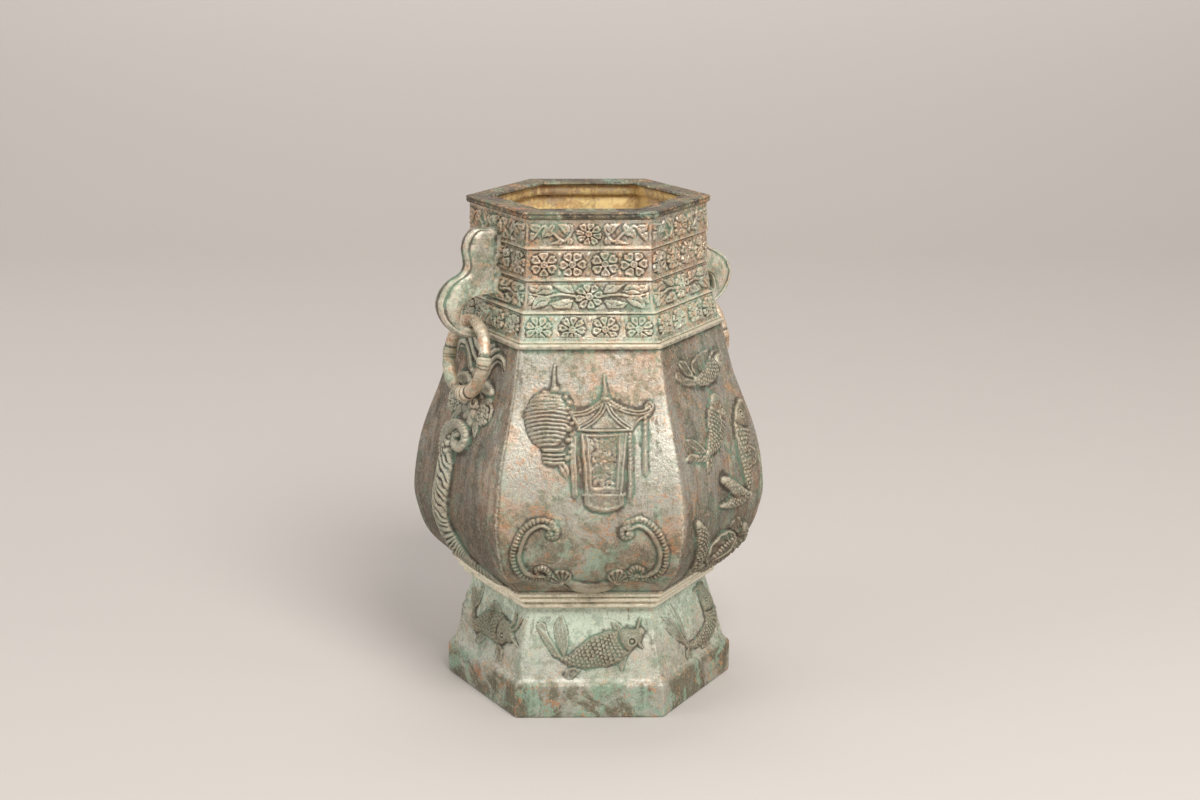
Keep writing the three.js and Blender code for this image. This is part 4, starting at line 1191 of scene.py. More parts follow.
def belly_profile():
    """The pear-shaped wall, with a small step at its top."""
    spline = [
        (84.6, BELLY_FOOT + 1.5), (98.8, 92.4), (105.4, 108.7), (107.2, 125), (101.8, 155.9), (88, 193),
        (80.3, BELLY_TOP - 3.2),
    ]
    curve = [tuple(p) for p in smooth_line(spline, 9)]
    outside = soften([(81.5, BELLY_FOOT), (85.0, BELLY_FOOT)], 0.8) + curve
    outside += [(81.7, BELLY_TOP - 2.4), (81.9, BELLY_TOP - 1.2), (81.4, BELLY_TOP)]
    inside = [
        (76, BELLY_TOP), (76, 220), (84, 193), (97.5, 155), (102.5, 125), (100.5, 108), (93, 92), (80, 80),
    ]
    return outside, inside


# The neck's four bands: lowest and highest level, and the radius at these levels
NECK_BANDS = ((225.5, 241.4), (243.5, 259.7), (261.8, 277.9), (280.0, 294.6))
NECK_RADII = ((78.3, 74.35), (72.9, 70.6), (70.7, 70.1), (70.2, 70.3))
# Width of the neck's faces, for its cells
NECK_WIDTH = 76


def neck_profile():
    """A flange, then four bands that lean inward between ridges."""
    outside = [(76.9, BELLY_TOP), (79.6, 225.7), (79.5, 226.8), (78.2, 227.4), (77.8, 228.4)]
    for i, ((low, high), (foot, head)) in enumerate(zip(NECK_BANDS, NECK_RADII)):
        if i:
            outside.append((foot, low + 0.6))
        outside.append((head - 0.1, high - 0.5))
        if i < 3:
            ridge = max(head, NECK_RADII[i + 1][0]) + 1.0
            outside += [(head - 0.5, high + 0.3), (ridge, high + 0.7), (ridge, high + 1.5)]
    outside = soften(outside + [(70.2, NECK_TOP)], 0.6)
    inside = [(64.9, NECK_TOP), (64.88, 246), (73.2, 231), (73.2, BELLY_TOP)]
    return outside, inside


def lip_profile():
    """The flat rim, whose edge turns over into the mouth, with a collar that goes down into the neck."""
    low, top = NECK_TOP, RIM_TOP
    step = top - 1.7
    outside = soften([
        (67.5, low), (70.6, low), (71.9, low + 0.5), (72.3, step - 0.3), (LIP_RADIUS - 0.9, step),
        (LIP_RADIUS, step + 0.4), (LIP_RADIUS, top - 0.6), (LIP_RADIUS - 0.9, top), (64, top - 0.45),
        (58.6, top - 0.5), (57.6, top), (56.9, top - 0.1), (55.8, top - 0.9), (56.2, top - 1.8),
        (58.0, top - 2.3),
    ], 0.6)
    inside = [(60.2, top - 2.6), (60.6, low - 0.6), (60.8, low - 4.3), (64.4, low - 4.6), (64.4, low - 0.2)]
    return outside, inside


def wall_radius(level):
    """Corner radius of the neck's wall at a level, without its ridges."""
    return np.interp(level, np.ravel(NECK_BANDS), np.ravel(NECK_RADII))


# Shader expressions

class Wire:
    """A node's output that takes part in Python arithmetic."""

    def __init__(self, graph, socket):
        self.graph = graph
        self.socket = socket

    def math(self, operation, first, second):
        """One Math node."""
        return self.graph.value("ShaderNodeMath", {"operation": operation}, {0: first, 1: second})

    def __add__(self, other):
        return self.math("ADD", self, other)

    __radd__ = __add__

    def __sub__(self, other):
        return self.math("SUBTRACT", self, other)

    def __rsub__(self, other):
        return self.math("SUBTRACT", other, self)

    def __mul__(self, other):
        return self.math("MULTIPLY", self, other)

    __rmul__ = __mul__


class Graph:
    """The nodes of one material."""

    def __init__(self, name):
        self.material = bpy.data.materials.new(name)
        self.material.use_nodes = True
        self.tree = self.material.node_tree
        self.tree.nodes.clear()

    def node(self, kind, settings=None, values=None):
        """Adds a node: its settings first, then its sockets' values and links."""
        node = self.tree.nodes.new(kind)
        for key, value in (settings or {}).items():
            setattr(node, key, value)
        for key, value in (values or {}).items():
            if isinstance(value, Wire):
                self.tree.links.new(value.socket, node.inputs[key])
            else:
                node.inputs[key].default_value = value
        return node

    def value(self, kind, settings=None, values=None, output=0):
        """Adds a node and gives one of its outputs."""
        return Wire(self, self.node(kind, settings, values).outputs[output])

    def ramp(self, wire, low, high):
        """0 below low, 1 above high, smooth between."""
        return self.value("ShaderNodeMapRange", {"interpolation_type": "SMOOTHSTEP"}, {
            "Value": wire, "From Min": low, "From Max": high, "To Min": 0.0, "To Max": 1.0,
        })

    def cover(self, wire, share, soft=0.022, spread=0.062):
        """1 over about this share of the surface, in patches of the noise given."""
        middle = 0.5 + spread * NormalDist().inv_cdf(1 - min(max(share, 0.001), 0.999))
        return self.ramp(wire, middle - soft, middle + soft)

    def level(self):
        """Height in millimetres."""
        place = self.value("ShaderNodeTexCoord", output=3)
        return self.value("ShaderNodeSeparateXYZ", None, {0: place}, 2) * (1 / MM)

    def mix(self, factor, first, second):
        """From the first colour to the second as factor goes from 0 to 1."""
        sockets = {0: factor, 6: colour4(first), 7: colour4(second)}
        return self.value("ShaderNodeMix", {"data_type": "RGBA"}, sockets, 2)

    def attribute(self, name):
        """A value that the mesh holds at its points."""
        return self.value("ShaderNodeAttribute", {"attribute_name": name}, output=2)

    def stretched(self, stretch, shift=0.0):
        """Object coordinates multiplied by stretch, which moves by shift to give another pattern."""
        place = self.value("ShaderNodeTexCoord", output=3)
        scaled = self.value("ShaderNodeVectorMath", {"operation": "MULTIPLY"}, {0: place, 1: stretch})
        return self.value("ShaderNodeVectorMath", {"operation": "ADD"}, {0: scaled, 1: 3 * (shift,)})

    def noise(self, size, detail=3.0, rough=0.55, stretch=(1, 1, 1), shift=0.0, distortion=0.0):
        """Noise from 0 to 1 whose features are about size millimetres."""
        return self.value("ShaderNodeTexNoise", None, {
            "Vector": self.stretched(stretch, shift), "Scale": 1 / (size * MM), "Detail": detail,
            "Roughness": rough, "Distortion": distortion,
        })

    def surface(self, values):
        """Ends the material in one glossy shader with these values."""
        shader = self.node("ShaderNodeBsdfPrincipled", None, values)
        output = self.node("ShaderNodeOutputMaterial")
        self.tree.links.new(shader.outputs[0], output.inputs[0])


def colour4(colour):
    """A colour with its fourth value, or a wire as it is."""
    if isinstance(colour, Wire):
        return colour
    return (*colour, 1.0)


def patina(
    name, green=0.5, orange=0.5, olive=0.4, streak=0.05, side_streak=0.0, low_patina_and_shade_amount=0.0, low_levels=(150, 98),
    pink=0.5, wear_and_edge_highlight=1.0, figure=0.0, ochre=0.0, tint=None, tint_share=0.65, gloss=0.0, grime=0.5,
    strength=1.0, bloom_levels=None, bloom_share=0.3, side_painted_shade=0.0, rope_painted_shade=0.0, patches=0.0,
    dull_figures_and_top_highlight=0.0,
):
    """Old bronze: grey and pink metal under olive, green and orange crusts, dark in its hollows, partly
    patina and partly painted shade, with painted shade and painted highlights in places.

    pink, olive, green, orange and streak say how much of the surface each covers, strength how dense the
    crusts are. aged, between low_levels, and patches belong to the lower parts, which are also painted
    darker as a dark reflection, bloom_levels to a pale green bloom. tint changes the metal. wear brightens
    crests and edges, partly as rubbed metal and partly as painted highlight, grime darkens pits, figure and
    dull_figures_and_top_highlight are for raised figures, dull_figures_and_top_highlight also painting a
    highlight on the tallest relief, ochre for the inside, and side_streak, side_painted_shade and
    rope_painted_shade for the faces beside the lantern faces, side_painted_shade and rope_painted_shade as
    painted shade. gloss takes away roughness.
    """
    c = colours()
    g = Graph(name)
    crest = g.attribute("crest")
    raised = g.attribute("raised")
    edge = g.attribute("edge")
    panel = g.attribute("panel")
    wide = g.noise(46, 6, 0.6, distortion=0.6)
    drift = g.noise(30, 9, 0.66, shift=7.3, distortion=0.9)
    clouds = g.noise(17, 9, 0.68, shift=3.1, distortion=0.6)
    blots = g.noise(6.5, 8, 0.7, shift=11.0)
    rusty = g.noise(13, 9, 0.76, shift=21.0, distortion=0.3)
    crumbs = g.noise(2.2, 5, 0.72, shift=5.0)
    specks = g.noise(0.9, 3, 0.6, shift=2.0)
    streaks = g.noise(9, 9, 0.7, stretch=(1, 1, 0.14), shift=1.7, distortion=0.3)
    fine = crumbs - 0.5
    level = g.level()
    # The low parts: more crust and patches grow there, and they are also painted darker as a dark
    # reflection
    low_patina_and_shade = g.ramp(level, *low_levels) * low_patina_and_shade_amount
    side = 1 - panel
    bloom = g.ramp(level, *bloom_levels) if bloom_levels else 0 * low_patina_and_shade

    # Bare metal
    base = g.mix(g.cover(wide + 0.5 * (blots - 0.5), pink, 0.07), c.grey, c.pink)
    if tint is not None:
        base = g.mix(tint_share, base, tint)

    # Films and crusts
    olive_mask = g.cover(drift + 0.4 * (blots - 0.5) + 0.08 * low_patina_and_shade, olive, 0.06)
    base = g.mix(olive_mask * (0.62 * strength), base, c.olive)
    green_mask = g.cover(clouds + 0.5 * fine + 0.05 * low_patina_and_shade + 0.07 * bloom, 0.4 * green, 0.05, 0.07)
    base = g.mix(green_mask * (0.6 * strength), base, c.verdigris)
    base = g.mix(bloom * bloom_share, base, c.mint)
    teal_mask = g.cover(blots + 0.5 * (drift - 0.5) + 0.03 * low_patina_and_shade + 0.035 * side, 0.3 * green, 0.04)
    base = g.mix(teal_mask * (0.55 * strength), base, c.teal)
    orange_mask = g.cover(rusty + 1.1 * fine + 0.035 * low_patina_and_shade + 0.045 * side, 0.2 * orange, 0.03, 0.085)
    base = g.mix(orange_mask * (0.66 * strength), base, c.orange)
    if patches:
        worn_in = low_patina_and_shade * patches
        base = g.mix(g.cover(drift + 0.3 * fine, 0.5, 0.035) * worn_in * 0.72, base, c.bark)
        base = g.mix(g.cover(clouds + 0.35 * fine, 0.26, 0.03) * worn_in * 0.8, base, c.verdigris)
        base = g.mix(g.cover(rusty + 0.5 * fine, 0.13, 0.025, 0.085) * worn_in * 0.8, base, c.orange)

    # Streaks, dull figures, dirt, and painted shade on the faces beside the lantern faces
    dark_mask = g.cover(streaks + 0.7 * fine + 0.1 * side_streak * side + 0.03 * low_patina_and_shade, streak, 0.05, 0.08)
    base = g.mix(dark_mask * 0.6, base, c.umber)
    roped = g.attribute("roped") if rope_painted_shade else 0 * side
    risen = g.ramp(raised, 0.25, 0.9)
    base = g.mix(risen * (1 - roped) * figure, base, c.bark)
    base = g.mix(risen * roped * 0.3, base, c.mint)
    base = g.mix(g.ramp(crumbs, 0.5, 0.36) * (grime * (0.3 + 0.4 * side)), base, c.umber)
    # Painted shade on the faces beside the lantern faces: the rope faces darker below the neck, less
    # towards the lantern face, and every side face a little
    shaded = g.ramp(level, 212, 176) * roped * (1 - 0.6 * risen)
    base = g.mix(side * side_painted_shade + shaded * rope_painted_shade, base, c.umber)
    base = g.mix(g.ramp(specks, 0.47, 0.34) * (grime * (0.55 + 0.45 * side)), base, c.umber)

    # Bright specks; dark hollows, partly patina and partly painted shade; crests rubbed bright; edges
    # brightened, partly rubbed metal and partly painted highlight
    base = g.mix(g.ramp(specks, 0.54, 0.68) * 0.24, base, c.shine)
    base = g.mix(g.ramp(crumbs, 0.54, 0.66) * 0.26, base, c.shine)
    # Hollows turn umber or teal: partly patina in them, partly painted shade where the relief meets the
    # ground
    hollow = g.ramp(crest + 0.5 * fine, -0.02, -0.3)
    base = g.mix(hollow * 0.82, base, g.mix(g.cover(clouds, 0.4, 0.03), c.umber, c.teal))
    rubbed = g.ramp(crest + 1.2 * (blots - 0.5), 0.14, 0.5)
    base = g.mix(rubbed * (0.42 * wear_and_edge_highlight) * (1 - dull_figures_and_top_highlight * risen * panel), base, c.shine)
    # Painted highlight: the tallest relief on the lantern faces is painted bright, as if lit along its top
    base = g.mix(g.ramp(raised, 2.4, 3.6) * panel * dull_figures_and_top_highlight, base, c.shine)
    # Edges, ridges, corners and the handles' rims brighten: partly rubbed metal, partly painted highlight
    rim = g.ramp(edge + 1.2 * fine, 0.1, 0.45)
    base = g.mix(rim * (0.55 * wear_and_edge_highlight), base, c.shine)
    # Painted dark reflection: the low parts are painted darker umber, as if they mirrored a dark floor
    base = g.mix(low_patina_and_shade * 0.17, base, c.umber)
    inner = g.attribute("inner")
    if ochre:
        golden = g.mix(g.cover(clouds + 0.5 * fine, 0.3, 0.05) * 0.7, c.ochre, c.pink)
        golden = g.mix(g.cover(drift + 0.3 * fine, 0.3, 0.05) * 0.35, golden, c.olive)
        golden = g.mix(g.cover(rusty + 0.3 * fine, 0.3, 0.04) * 0.45, golden, c.orange)
        base = g.mix(inner * ochre, base, golden)

    crust = g.ramp(green_mask + teal_mask + hollow + 0.6 * olive_mask + dark_mask, 0.0, 1.3)
    roughness = 0.36 - gloss + 0.28 * crust + 0.5 * (blots - 0.5) + 0.3 * fine + 0.12 * rim
    metallic = (0.66 - 0.5 * crust - 0.15 * orange_mask) * (1 - 0.8 * inner)
    relief = 0.8 * blots + 0.6 * crumbs + 0.3 * specks
    bump = g.value("ShaderNodeBump", None, {"Strength": 0.5, "Distance": 0.0013, "Height": relief})
    g.surface({"Base Color": base, "Roughness": roughness, "Metallic": metallic, "Normal": bump})
    return g.material


def finish_piece(obj, material, slot, body, *nodes):
    """Gives a piece its material and body, and lets it stand for CAD nodes. slot is not used."""
    obj.data.materials.append(material)
    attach(obj, body)
    if nodes:
        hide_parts(*nodes)


# Operators

class VASE_OT_foot(bpy.types.Operator):
    """Builds the flared foot with its carp and the plinth below it"""

    bl_idname = "vase.foot"
    bl_label = "Foot"

    def execute(self, context):
        s = sizes()
        wall = Casting(*foot_profile(), s.foot_rounding, PLINTH_RADIUS, s.cell)
        wall.carve(lambda field, face: carp(field, face, s.carp_rise), margin=2.5, seed=300)
        obj = wall.mesh("bronze_foot")
        material = patina(
            "foot_patina", green=0.9, orange=0.25, olive=0.2, pink=0.4, strength=0.6,
            tint=paint(200, 202, 190), figure=0.66, low_patina_and_shade_amount=1.0, low_levels=(22.5, 19.5), patches=1.0,
            bloom_levels=(34, 58), bloom_share=0.7, grime=0.4, wear_and_edge_highlight=0.55, gloss=-0.16,
        )
        finish_piece(obj, material, "foot_bronze", BODY, "foot")
        return {"FINISHED"}


class VASE_OT_moulding(bpy.types.Operator):
    """Builds the three-ridged moulding between foot and belly"""

    bl_idname = "vase.moulding"
    bl_label = "Waist moulding"

    def execute(self, context):
        s = sizes()
        wall = Casting(*moulding_profile(), s.foot_rounding, MOULDING_RADIUS, s.cell)
        obj = wall.mesh("bronze_moulding")
        material = patina(
            "moulding_patina", green=0.2, orange=0.2, olive=0.2, wear_and_edge_highlight=1.6, grime=0.1,
            tint=paint(255, 251, 232), tint_share=0.85,
        )
        finish_piece(obj, material, "belly_bronze", BODY, "waist_moulding")
        return {"FINISHED"}


class VASE_OT_belly(bpy.types.Operator):
    """Builds the belly with its lanterns, scrolls, ropes, masks and fish"""

    bl_idname = "vase.belly"
    bl_label = "Belly"

    def execute(self, context):
        s = sizes()

        def rounding(level):
            """Corners are rounder where the belly is widest."""
            return s.belly_rounding * (1 + 0.6 * smoothstep(60, 0, np.abs(level - 125)))

        def draw(field, face):
            """The figures of one kind of face."""
            if face == LANTERN_FACE:
                round_lantern(field, s.lantern_rise)
                roof_lantern(field, s.lantern_rise)
                cartouche(field, s.scroll_rise)
            elif face == SHOAL_FACE:
                shoal(field, s.fish_rise)
            else:
                rope_scroll(field, s.rope_width, s.rope_rise)
                ring_mask(field, s.mask_rise)

        wall = Casting(*belly_profile(), rounding, BELLY_RADIUS, s.belly_cell)
        wall.carve(draw, margin=2.0, seed=100)
        obj = wall.mesh("bronze_belly")
        material = patina(
            "belly_patina", green=0.25, orange=0.4, olive=0.3, pink=0.5, low_patina_and_shade_amount=1.0, patches=0.5,
            figure=0.42, dull_figures_and_top_highlight=0.5, side_streak=1.5, side_painted_shade=0.1, rope_painted_shade=0.38,
        )
        finish_piece(obj, material, "belly_bronze", BODY, "belly")
        return {"FINISHED"}


class VASE_OT_neck(bpy.types.Operator):
    """Builds the neck with its four bands of blossoms and leaves"""

    bl_idname = "vase.neck"
    bl_label = "Neck"

    def execute(self, context):
        s = sizes()

        def draw(field, face):
            """Four bands, uneven on the faces beside the front and leafy round the handles."""
            neck_bands(field, face, s.blossom_radius, s.blossom_rise)
            if face != LANTERN_FACE:
                roughen(field, 0.5)
            if face == ROPE_FACE:
                handle_leaves(field, 1.3 * s.blossom_rise)

        wall = Casting(*neck_profile(), s.neck_rounding, NECK_WIDTH, s.cell)
        wall.carve(draw, margin=1.6, seed=200, plain_bends=True)
        obj = wall.mesh("bronze_neck")
        material = patina(
            "neck_patina", green=0.45, orange=0.6, olive=0.4, pink=0.65, wear_and_edge_highlight=0.8, grime=0.6, ochre=1.0,
            bloom_levels=(266, 250),
        )
        finish_piece(obj, material, "neck_bronze", BODY, "neck_collar")
        return {"FINISHED"}


class VASE_OT_lip(bpy.types.Operator):
    """Builds the flat rim round the mouth"""

    bl_idname = "vase.lip"
    bl_label = "Lip"

    def execute(self, context):
        s = sizes()
        wall = Casting(*lip_profile(), s.lip_rounding, LIP_RADIUS, s.cell)
        obj = wall.mesh("bronze_lip")
        material = patina(
            "lip_patina", green=0.2, orange=0.4, olive=0.6, wear_and_edge_highlight=0.1, ochre=1.0, gloss=-0.12,
            tint=paint(42, 35, 26), tint_share=0.9,
        )
        finish_piece(obj, material, "neck_bronze", BODY, "lip_ring")
        return {"FINISHED"}


# Handles and rings stand at these directions, counted from +X
FITTING_SIDES = (("left", math.radians(210)), ("right", math.radians(30)))
# Height of a handle's anchor above the belly
HANDLE_RISE = 36.0
# Stations along a handle's scroll, on its inner and its back edge, in millimetres out from the anchor
# and up from it
HANDLE_STATIONS = (
    ((-1.2, 24.6), (2.5, 25.0)), ((-1.2, 22), (9, 24.4)), ((-1.2, 18), (15.5, 25.2)),
    ((-1.2, 13), (20.4, 21.4)), ((-1.2, 8), (22.8, 15)), ((-1.2, 4), (22.2, 8.4)), ((-1.2, 0), (22, 3.4)),
    ((-1.2, -5), (24.8, -0.6)), ((-1.2, -10), (31, -3.6)), ((2, -13.2), (36.4, -8.2)),
    ((9.6, -12.6), (39.4, -14.6)), ((16.6, -13.4), (39.6, -19.4)), ((22.6, -16.6), (38, -24.6)),
    ((25.2, -21.6), (34.6, -30)), ((25.6, -27), (29.4, -34.6)), ((23.4, -30.6), (25, -37)),
    ((19.6, -32.1), (20.4, -38.4)), ((15.9, -32.4), (15.6, -38.3)), ((13.6, -31.6), (12.6, -36.2)),
)
# The station where the handle leaves the wall, and how many spans follow each station
HOOK_STATION, HANDLE_SPANS = 8, 7
# How deep the inner edge is sunk in the wall
HANDLE_SINK = 1.2


def handle_section(near, far, share, on_hook, tip):
    """One section across the handle, from its inner edge near to its back edge far.

    Gives the places in the handle's plane and, for each, half thickness, crest, darkened along the back
    edge as a painted shade line, and bright lines, partly rubbed rims and partly painted highlights.
    on_hook is 0 where the handle stands on the wall and 1 on the hook; tip is 0 at the hook's end.
    """
    across = far - near
    place = near + across * share[:, None]
    width = np.hypot(*across)
    from_inner, from_back = share * width, (1 - share) * width
    on_wall = 1 - on_hook
    rounding = min(1.3, 0.5 * width)
    edge = on_wall + on_hook * dome(1 - np.clip(from_inner / rounding, 0, 1))
    edge = edge * dome(1 - np.clip(from_back / rounding, 0, 1))
    room = smoothstep(6, 14, width)
    rim = 0.25 * bell(from_back, 2.0, 0.35) - room * 0.25 * bell(from_back, 2.8, 0.4)
    rim = rim + on_hook * room * 0.8 * bell(from_inner, 1.3, 0.9)
    bulge = (1.1 + 0.9 * on_hook) * room * smoothstep(2.4, 7, from_back) * smoothstep(0.6, 5, from_inner)
    fillet = 6.5
    root = fillet * on_wall * (1 - np.sqrt(1 - np.clip(1 - from_inner / fillet, 0, 1) ** 2))
    crumbly = patch_noise(*place.T, 2.6, 42)
    lumps = 0.22 * patch_noise(*place.T, 5.5, 41) + 0.7 * crumbly * on_wall * smoothstep(7, 2, from_inner)
    core = (0.5 * sizes().handle_thickness - 0.5 * on_wall) * (0.45 + 0.55 * math.sqrt(tip))
    thick = (core + rim + bulge + root + lumps) * edge
    thick[0] = thick[-1] = 0
    mean = np.convolve(np.pad(thick, 2, mode="edge"), np.ones(5) / 5, mode="valid")
    pits = on_wall * smoothstep(9, 3, from_inner) * np.minimum(crumbly, 0)
    # A painted shade line along the back edge, where the handle's side would lie in shade
    crest = 1.6 * (thick - mean) - 0.22 * bell(from_back, 0.8, 0.7) + 0.5 * pits
    # Bright lines along the rims: partly rubbed metal, partly painted highlights
    lines = 0.7 * bell(from_back, 2.0, 0.3) + 0.8 * on_hook * bell(from_inner, 1.3, 0.7)
    return place, thick, crest, lines


def handle_mesh(name, angle):
    """A scroll handle: a domed, rimmed slab that narrows from the wall to the hook's tip."""
    level = BELLY_TOP + HANDLE_RISE
    anchor = np.array([FACE_COS * wall_radius(level), level])
    inner, back = (smooth_line(edge, HANDLE_SPANS) + anchor for edge in zip(*HANDLE_STATIONS))
    on_wall = np.arange(len(inner)) <= HOOK_STATION * HANDLE_SPANS
    inner[:, 0] = np.where(on_wall, FACE_COS * wall_radius(inner[:, 1]) - HANDLE_SINK, inner[:, 0])
    steps = 30
    share = 0.5 - 0.5 * np.cos(np.linspace(0, math.pi, steps + 1))
    rows, ring = len(inner), 2 * steps
    outward = np.array([math.cos(angle), math.sin(angle), 0])
    sideways = np.array([-math.sin(angle), math.cos(angle), 0])
    points, crests, edges = [], [], []
    for i, (near, far) in enumerate(zip(inner, back)):
        on_hook = smoothstep(HOOK_STATION * HANDLE_SPANS, (HOOK_STATION + 2) * HANDLE_SPANS, i)
        tip = min((rows - 1 - i) / 8, 1)
        place, thick, crest, lines = handle_section(near, far, share, on_hook, tip)
        plane = outward * place[:, :1] + np.array([0, 0, 1]) * place[:, 1:]
        # Round the section: one side forth, the other back without the ends
        for side, order in ((1, slice(None)), (-1, slice(-2, 0, -1))):
            points.append((plane + side * sideways * thick[:, None])[order])
            crests.append(crest[order])
            edges.append(lines[order])
    faces = []
    for i in range(rows - 1):
        for k in range(ring):
            a, b = i * ring + k, i * ring + (k + 1) % ring
            faces.append([a, b, b + ring, a + ring])
    faces.append(list(range(ring))[::-1])
    faces.append([(rows - 1) * ring + k for k in range(ring)])
    return fitting_mesh(name, np.concatenate(points), faces, np.concatenate(crests), np.concatenate(edges))


def fitting_mesh(name, points, faces, crest, edge):
    """The mesh of a handle or ring, which have no raised figures and no kinds of face."""
    values = {"crest": crest, "edge": edge, "raised": 0 * crest, "panel": 0 * crest + 0.5}
    return build_mesh(name, points, faces, values)


class VASE_OT_handles(bpy.types.Operator):
    """Builds the two scroll handles"""

    bl_idname = "vase.handles"
    bl_label = "Handles"

    def execute(self, context):
        material = patina(
            "handle_patina", green=0.7, orange=0.4, olive=0.4, pink=0.4, strength=0.9,
            tint=paint(226, 222, 207), tint_share=0.6, gloss=-0.06, wear_and_edge_highlight=0.7,
        )
        for side, angle in FITTING_SIDES:
            obj = handle_mesh(f"bronze_handle_{side}", angle)
            finish_piece(obj, material, "fitting_bronze", BODY, f"handle_{side}")
        return {"FINISHED"}


# Places in degrees round a ring: its thicker lower half, the double collars over each change, the bulb
# where the ends lap, the waist beside it and the grooves round it
LOWER_HALF = (184, 356)
COLLARS = (2, 184)
BULB, WAIST = 282, 252
GROOVES = (266.5, 276, 286, 296.5)


def turn_gap(degrees, place):
    """Signed distance round the ring from place, -180 to 180 degrees."""
    return (degrees - place + 180) % 360 - 180


def ring_tube(degrees):
    """Radius of the ring's bar at degrees round it, counted from the side arm towards the top."""
    s = sizes()
    below = (degrees > LOWER_HALF[0]) & (degrees < LOWER_HALF[1])
    tube = s.ring_bar + (s.ring_lower_bar - s.ring_bar) * below
    for collar in COLLARS:
        gap = turn_gap(degrees, collar)
        tube = np.maximum(tube, (s.ring_bar + 0.95) * dome(np.clip(np.abs(gap) / 9, 0, 1) ** 3))
        tube = tube - 0.5 * sum(bell(gap, k, 1.2) for k in (-3.5, 3.5))
    tube = tube + 0.9 * dome(turn_gap(degrees, BULB) / 13) ** 0.7
    tube = tube - 1.1 * bell(degrees, WAIST, 12)
    for groove in GROOVES:
        tube = tube - 0.5 * bell(turn_gap(degrees, groove), 0, 1.3)
    return tube + 0.1 * np.sin(np.radians(degrees) * 7 + 1) + 0.08 * np.sin(np.radians(degrees) * 13)


def ring_mesh(name, node, hinge, angle):
    """A loose ring: thin in the hook, double collars on the arms, its ends lapped at the bottom."""
    s = sizes()
    low, high = box_mm(node)
    middle = 0.5 * (low + high)
    hinge = np.array(hinge) / MM
    up = hinge - middle
    up = up / np.linalg.norm(up)
    sideways = np.array([-math.sin(angle), math.cos(angle), 0])
    outward = np.cross(sideways, up)
    lean_cos, lean_sin = math.cos(s.ring_lean), math.sin(s.ring_lean)
    up, outward = up * lean_cos - outward * lean_sin, outward * lean_cos + up * lean_sin
    centre = hinge - up * s.ring_radius
    steps, sides = 180, 20
    degrees = np.arange(steps) * 360 / steps
    tube = ring_tube(degrees)
    turn = np.radians(degrees)[:, None]
    round_angle = (np.arange(sides) * 2 * math.pi / sides)[None, :]
    radial = s.ring_radius + tube[:, None] * np.cos(round_angle)
    depth = tube[:, None] * np.sin(round_angle)
    points = (
        centre
        + (radial * np.cos(turn))[..., None] * sideways
        + (radial * np.sin(turn))[..., None] * up
        + depth[..., None] * outward
    ).reshape(-1, 3)
    mean = sum(np.roll(tube, k) for k in range(-3, 4)) / 7
    crest = np.repeat((tube - mean) * 2.0 + 0.05, sides)
    faces = []
    for i in range(steps):
        ahead = (i + 1) % steps
        for k in range(sides):
            after = (k + 1) % sides
            faces.append([i * sides + k, ahead * sides + k, ahead * sides + after, i * sides + after])
    return fitting_mesh(name, points, faces, crest, 0 * crest)


class VASE_OT_rings(bpy.types.Operator):
    """Builds the two loose rings"""

    bl_idname = "vase.rings"
    bl_label = "Rings"

    def execute(self, context):
        material = patina(
            "ring_patina", green=0.35, orange=0.6, olive=0.2, pink=0.6,
            tint=paint(240, 224, 198), gloss=-0.12,
        )
        places = {joint["child"]: joint["pos_m"] for joint in frame["joints"]}
        for side, angle in FITTING_SIDES:
            node = f"ring_{side}"
            obj = ring_mesh(f"bronze_ring_{side}", node, places[node], angle)
            finish_piece(obj, material, "fitting_bronze", node, node)
        return {"FINISHED"}


class VASE_OT_inner_parts(bpy.types.Operator):
    """Gives the base plate and the rivets their brassy, stained finish"""

    bl_idname = "vase.inner_parts"
    bl_label = "Base plate and rivets"

    def execute(self, context):
        material = patina("inner_patina", green=0.3, orange=0.6, olive=0.6, tint=paint(170, 132, 80))
        for name, obj in frame["nodes"].items():
            if name == "base_plate" or "rivet" in name:
                if not obj.material_slots:
                    raise RuntimeError(f"{name} has no material slot")
                for material_slot in obj.material_slots:
                    material_slot.material = material
        return {"FINISHED"}


def cove_mesh():
    """Floor and backdrop as one sheet with a wide curve between them, in metres."""
    half_width, front, bend_start, bend, top = 14.0, -16.0, 1.4, 0.9, 4.0
    section = [(front, 0.0), (bend_start, 0.0)]
    for turn in np.linspace(0, math.pi / 2, 16)[1:]:
        section.append((bend_start + bend * math.sin(turn), bend * (1 - math.cos(turn))))
    section.append((bend_start + bend, top))
    points = np.array([(x, y, z) for y, z in section for x in (-half_width, half_width)]) / MM
    faces = [[2 * i, 2 * i + 1, 2 * i + 3, 2 * i + 2] for i in range(len(section) - 1)]
    return build_mesh("floor_and_backdrop", points, faces)


# Lamps: name, place, target, size and colour; the stage's settings hold their powers
VASE_MIDDLE = (0, 0, 0.15)
LAMPS = (
    ("key_lamp", (0.5, -1.1, 1.35), VASE_MIDDLE, 0.8, (1, 0.985, 0.96)),
    ("fill_lamp", (-1.5, -0.6, 0.9), VASE_MIDDLE, 1.0, (0.95, 0.98, 1)),
    ("side_lamp", (1.5, -0.7, 0.6), VASE_MIDDLE, 0.5, (1, 1, 1)),
    ("back_lamp", (-1.7, 0.9, 0.75), VASE_MIDDLE, 0.7, (1, 1, 1)),
    ("backdrop_lamp", (0, 0.7, 2.6), (0, 2.3, 0.9), 1.4, (1, 1, 1)),
)
# The camera before it turns by its yaw about the vase, and its angles
CAMERA_PLACE = (0.00689, -1.2481, 0.5016)
CAMERA_YAW = math.radians(-0.56)
CAMERA_DIP = math.radians(14.68)


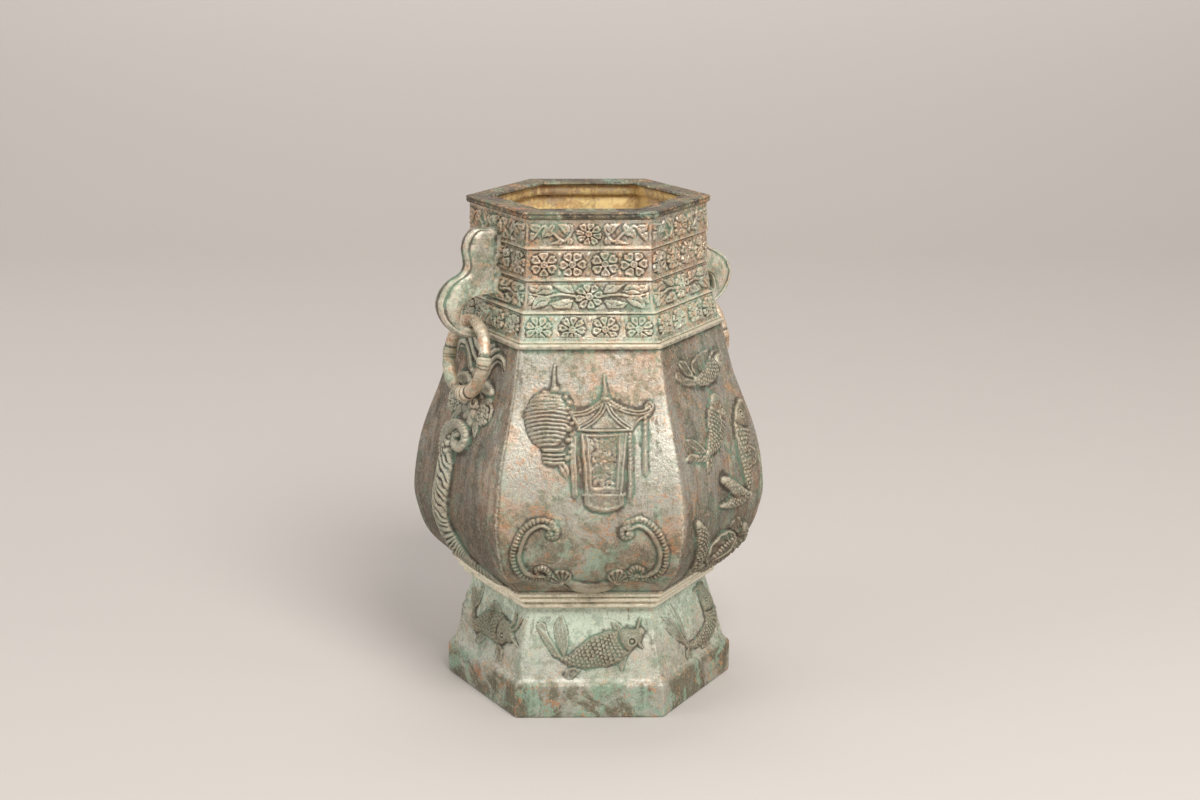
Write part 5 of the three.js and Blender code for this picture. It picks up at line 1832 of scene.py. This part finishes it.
def area_lamp(name, place, target, size, power, colour):
    """A round lamp that faces its target."""
    lamp = bpy.data.lights.new(name, "AREA")
    lamp.shape = "DISK"
    lamp.size = size
    lamp.energy = power
    lamp.color = colour
    obj = bpy.data.objects.new(name, lamp)
    obj.location = place
    obj.rotation_euler = (Vector(target) - Vector(place)).to_track_quat("-Z", "Y").to_euler()
    bpy.context.scene.collection.objects.link(obj)


class VASE_OT_stage(bpy.types.Operator):
    """Builds the floor, the lamps and the camera"""

    bl_idname = "vase.stage"
    bl_label = "Stage"

    def execute(self, context):
        scene = context.scene
        stage = scene.vase_stage
        cove = cove_mesh()
        g = Graph("plain_floor")
        rising = g.ramp(g.level(), 0, 900)
        g.surface({
            "Base Color": g.mix(rising, colours().floor, colours().backdrop),
            "Roughness": 0.9, "Specular IOR Level": 0.1,
        })
        cove.data.materials.append(g.material)

        world = bpy.data.worlds.new("even_light")
        world.use_nodes = True
        background = world.node_tree.nodes["Background"]
        background.inputs["Color"].default_value = (*paint(250, 247, 243), 1)
        background.inputs["Strength"].default_value = stage.ambient
        scene.world = world

        for name, place, target, size, colour in LAMPS:
            power = getattr(stage, name.replace("lamp", "power"))
            area_lamp(name, place, target, size, power, colour)

        camera = bpy.data.cameras.new("photo_camera")
        camera.lens = stage.lens
        camera.sensor_width = stage.sensor
        camera.clip_end = 50
        view = bpy.data.objects.new("photo_camera", camera)
        view.location = Matrix.Rotation(CAMERA_YAW, 3, "Z") @ Vector(CAMERA_PLACE)
        view.rotation_euler = (math.radians(90) - CAMERA_DIP, 0, CAMERA_YAW)
        scene.collection.objects.link(view)
        scene.camera = view
        scene.view_settings.view_transform = "Standard"
        return {"FINISHED"}


class VASE_PT_panel(bpy.types.Panel):
    """Sizes, colours and the steps that build the vase"""

    bl_idname = "VASE_PT_panel"
    bl_label = "Bronze vase"
    bl_space_type = "VIEW_3D"
    bl_region_type = "UI"
    bl_category = "Vase"

    def draw(self, context):
        scene = context.scene
        for group in (scene.vase_sizes, scene.vase_colours, scene.vase_stage):
            box = self.layout.box()
            for key in group.__annotations__:
                box.prop(group, key)
        for operator in OPERATORS:
            self.layout.operator(operator.bl_idname)


OPERATORS = (
    VASE_OT_stage, VASE_OT_foot, VASE_OT_moulding, VASE_OT_belly, VASE_OT_neck, VASE_OT_lip,
    VASE_OT_handles, VASE_OT_rings, VASE_OT_inner_parts,
)
CLASSES = (VaseSizes, VaseColours, VaseStage, *OPERATORS, VASE_PT_panel)


def register():
    """Adds the classes and hangs the settings on the scene."""
    for item in CLASSES:
        bpy.utils.register_class(item)
    bpy.types.Scene.vase_sizes = PointerProperty(type=VaseSizes)
    bpy.types.Scene.vase_colours = PointerProperty(type=VaseColours)
    bpy.types.Scene.vase_stage = PointerProperty(type=VaseStage)


def unregister():
    """Undoes register."""
    del bpy.types.Scene.vase_stage
    del bpy.types.Scene.vase_colours
    del bpy.types.Scene.vase_sizes
    for item in reversed(CLASSES):
        bpy.utils.unregister_class(item)


def main():
    """Builds the stage and every piece."""
    register()
    bpy.ops.vase.stage()
    bpy.ops.vase.foot()
    bpy.ops.vase.moulding()
    bpy.ops.vase.belly()
    bpy.ops.vase.neck()
    bpy.ops.vase.lip()
    bpy.ops.vase.handles()
    bpy.ops.vase.rings()
    bpy.ops.vase.inner_parts()


if __name__ == "__main__":
    main()
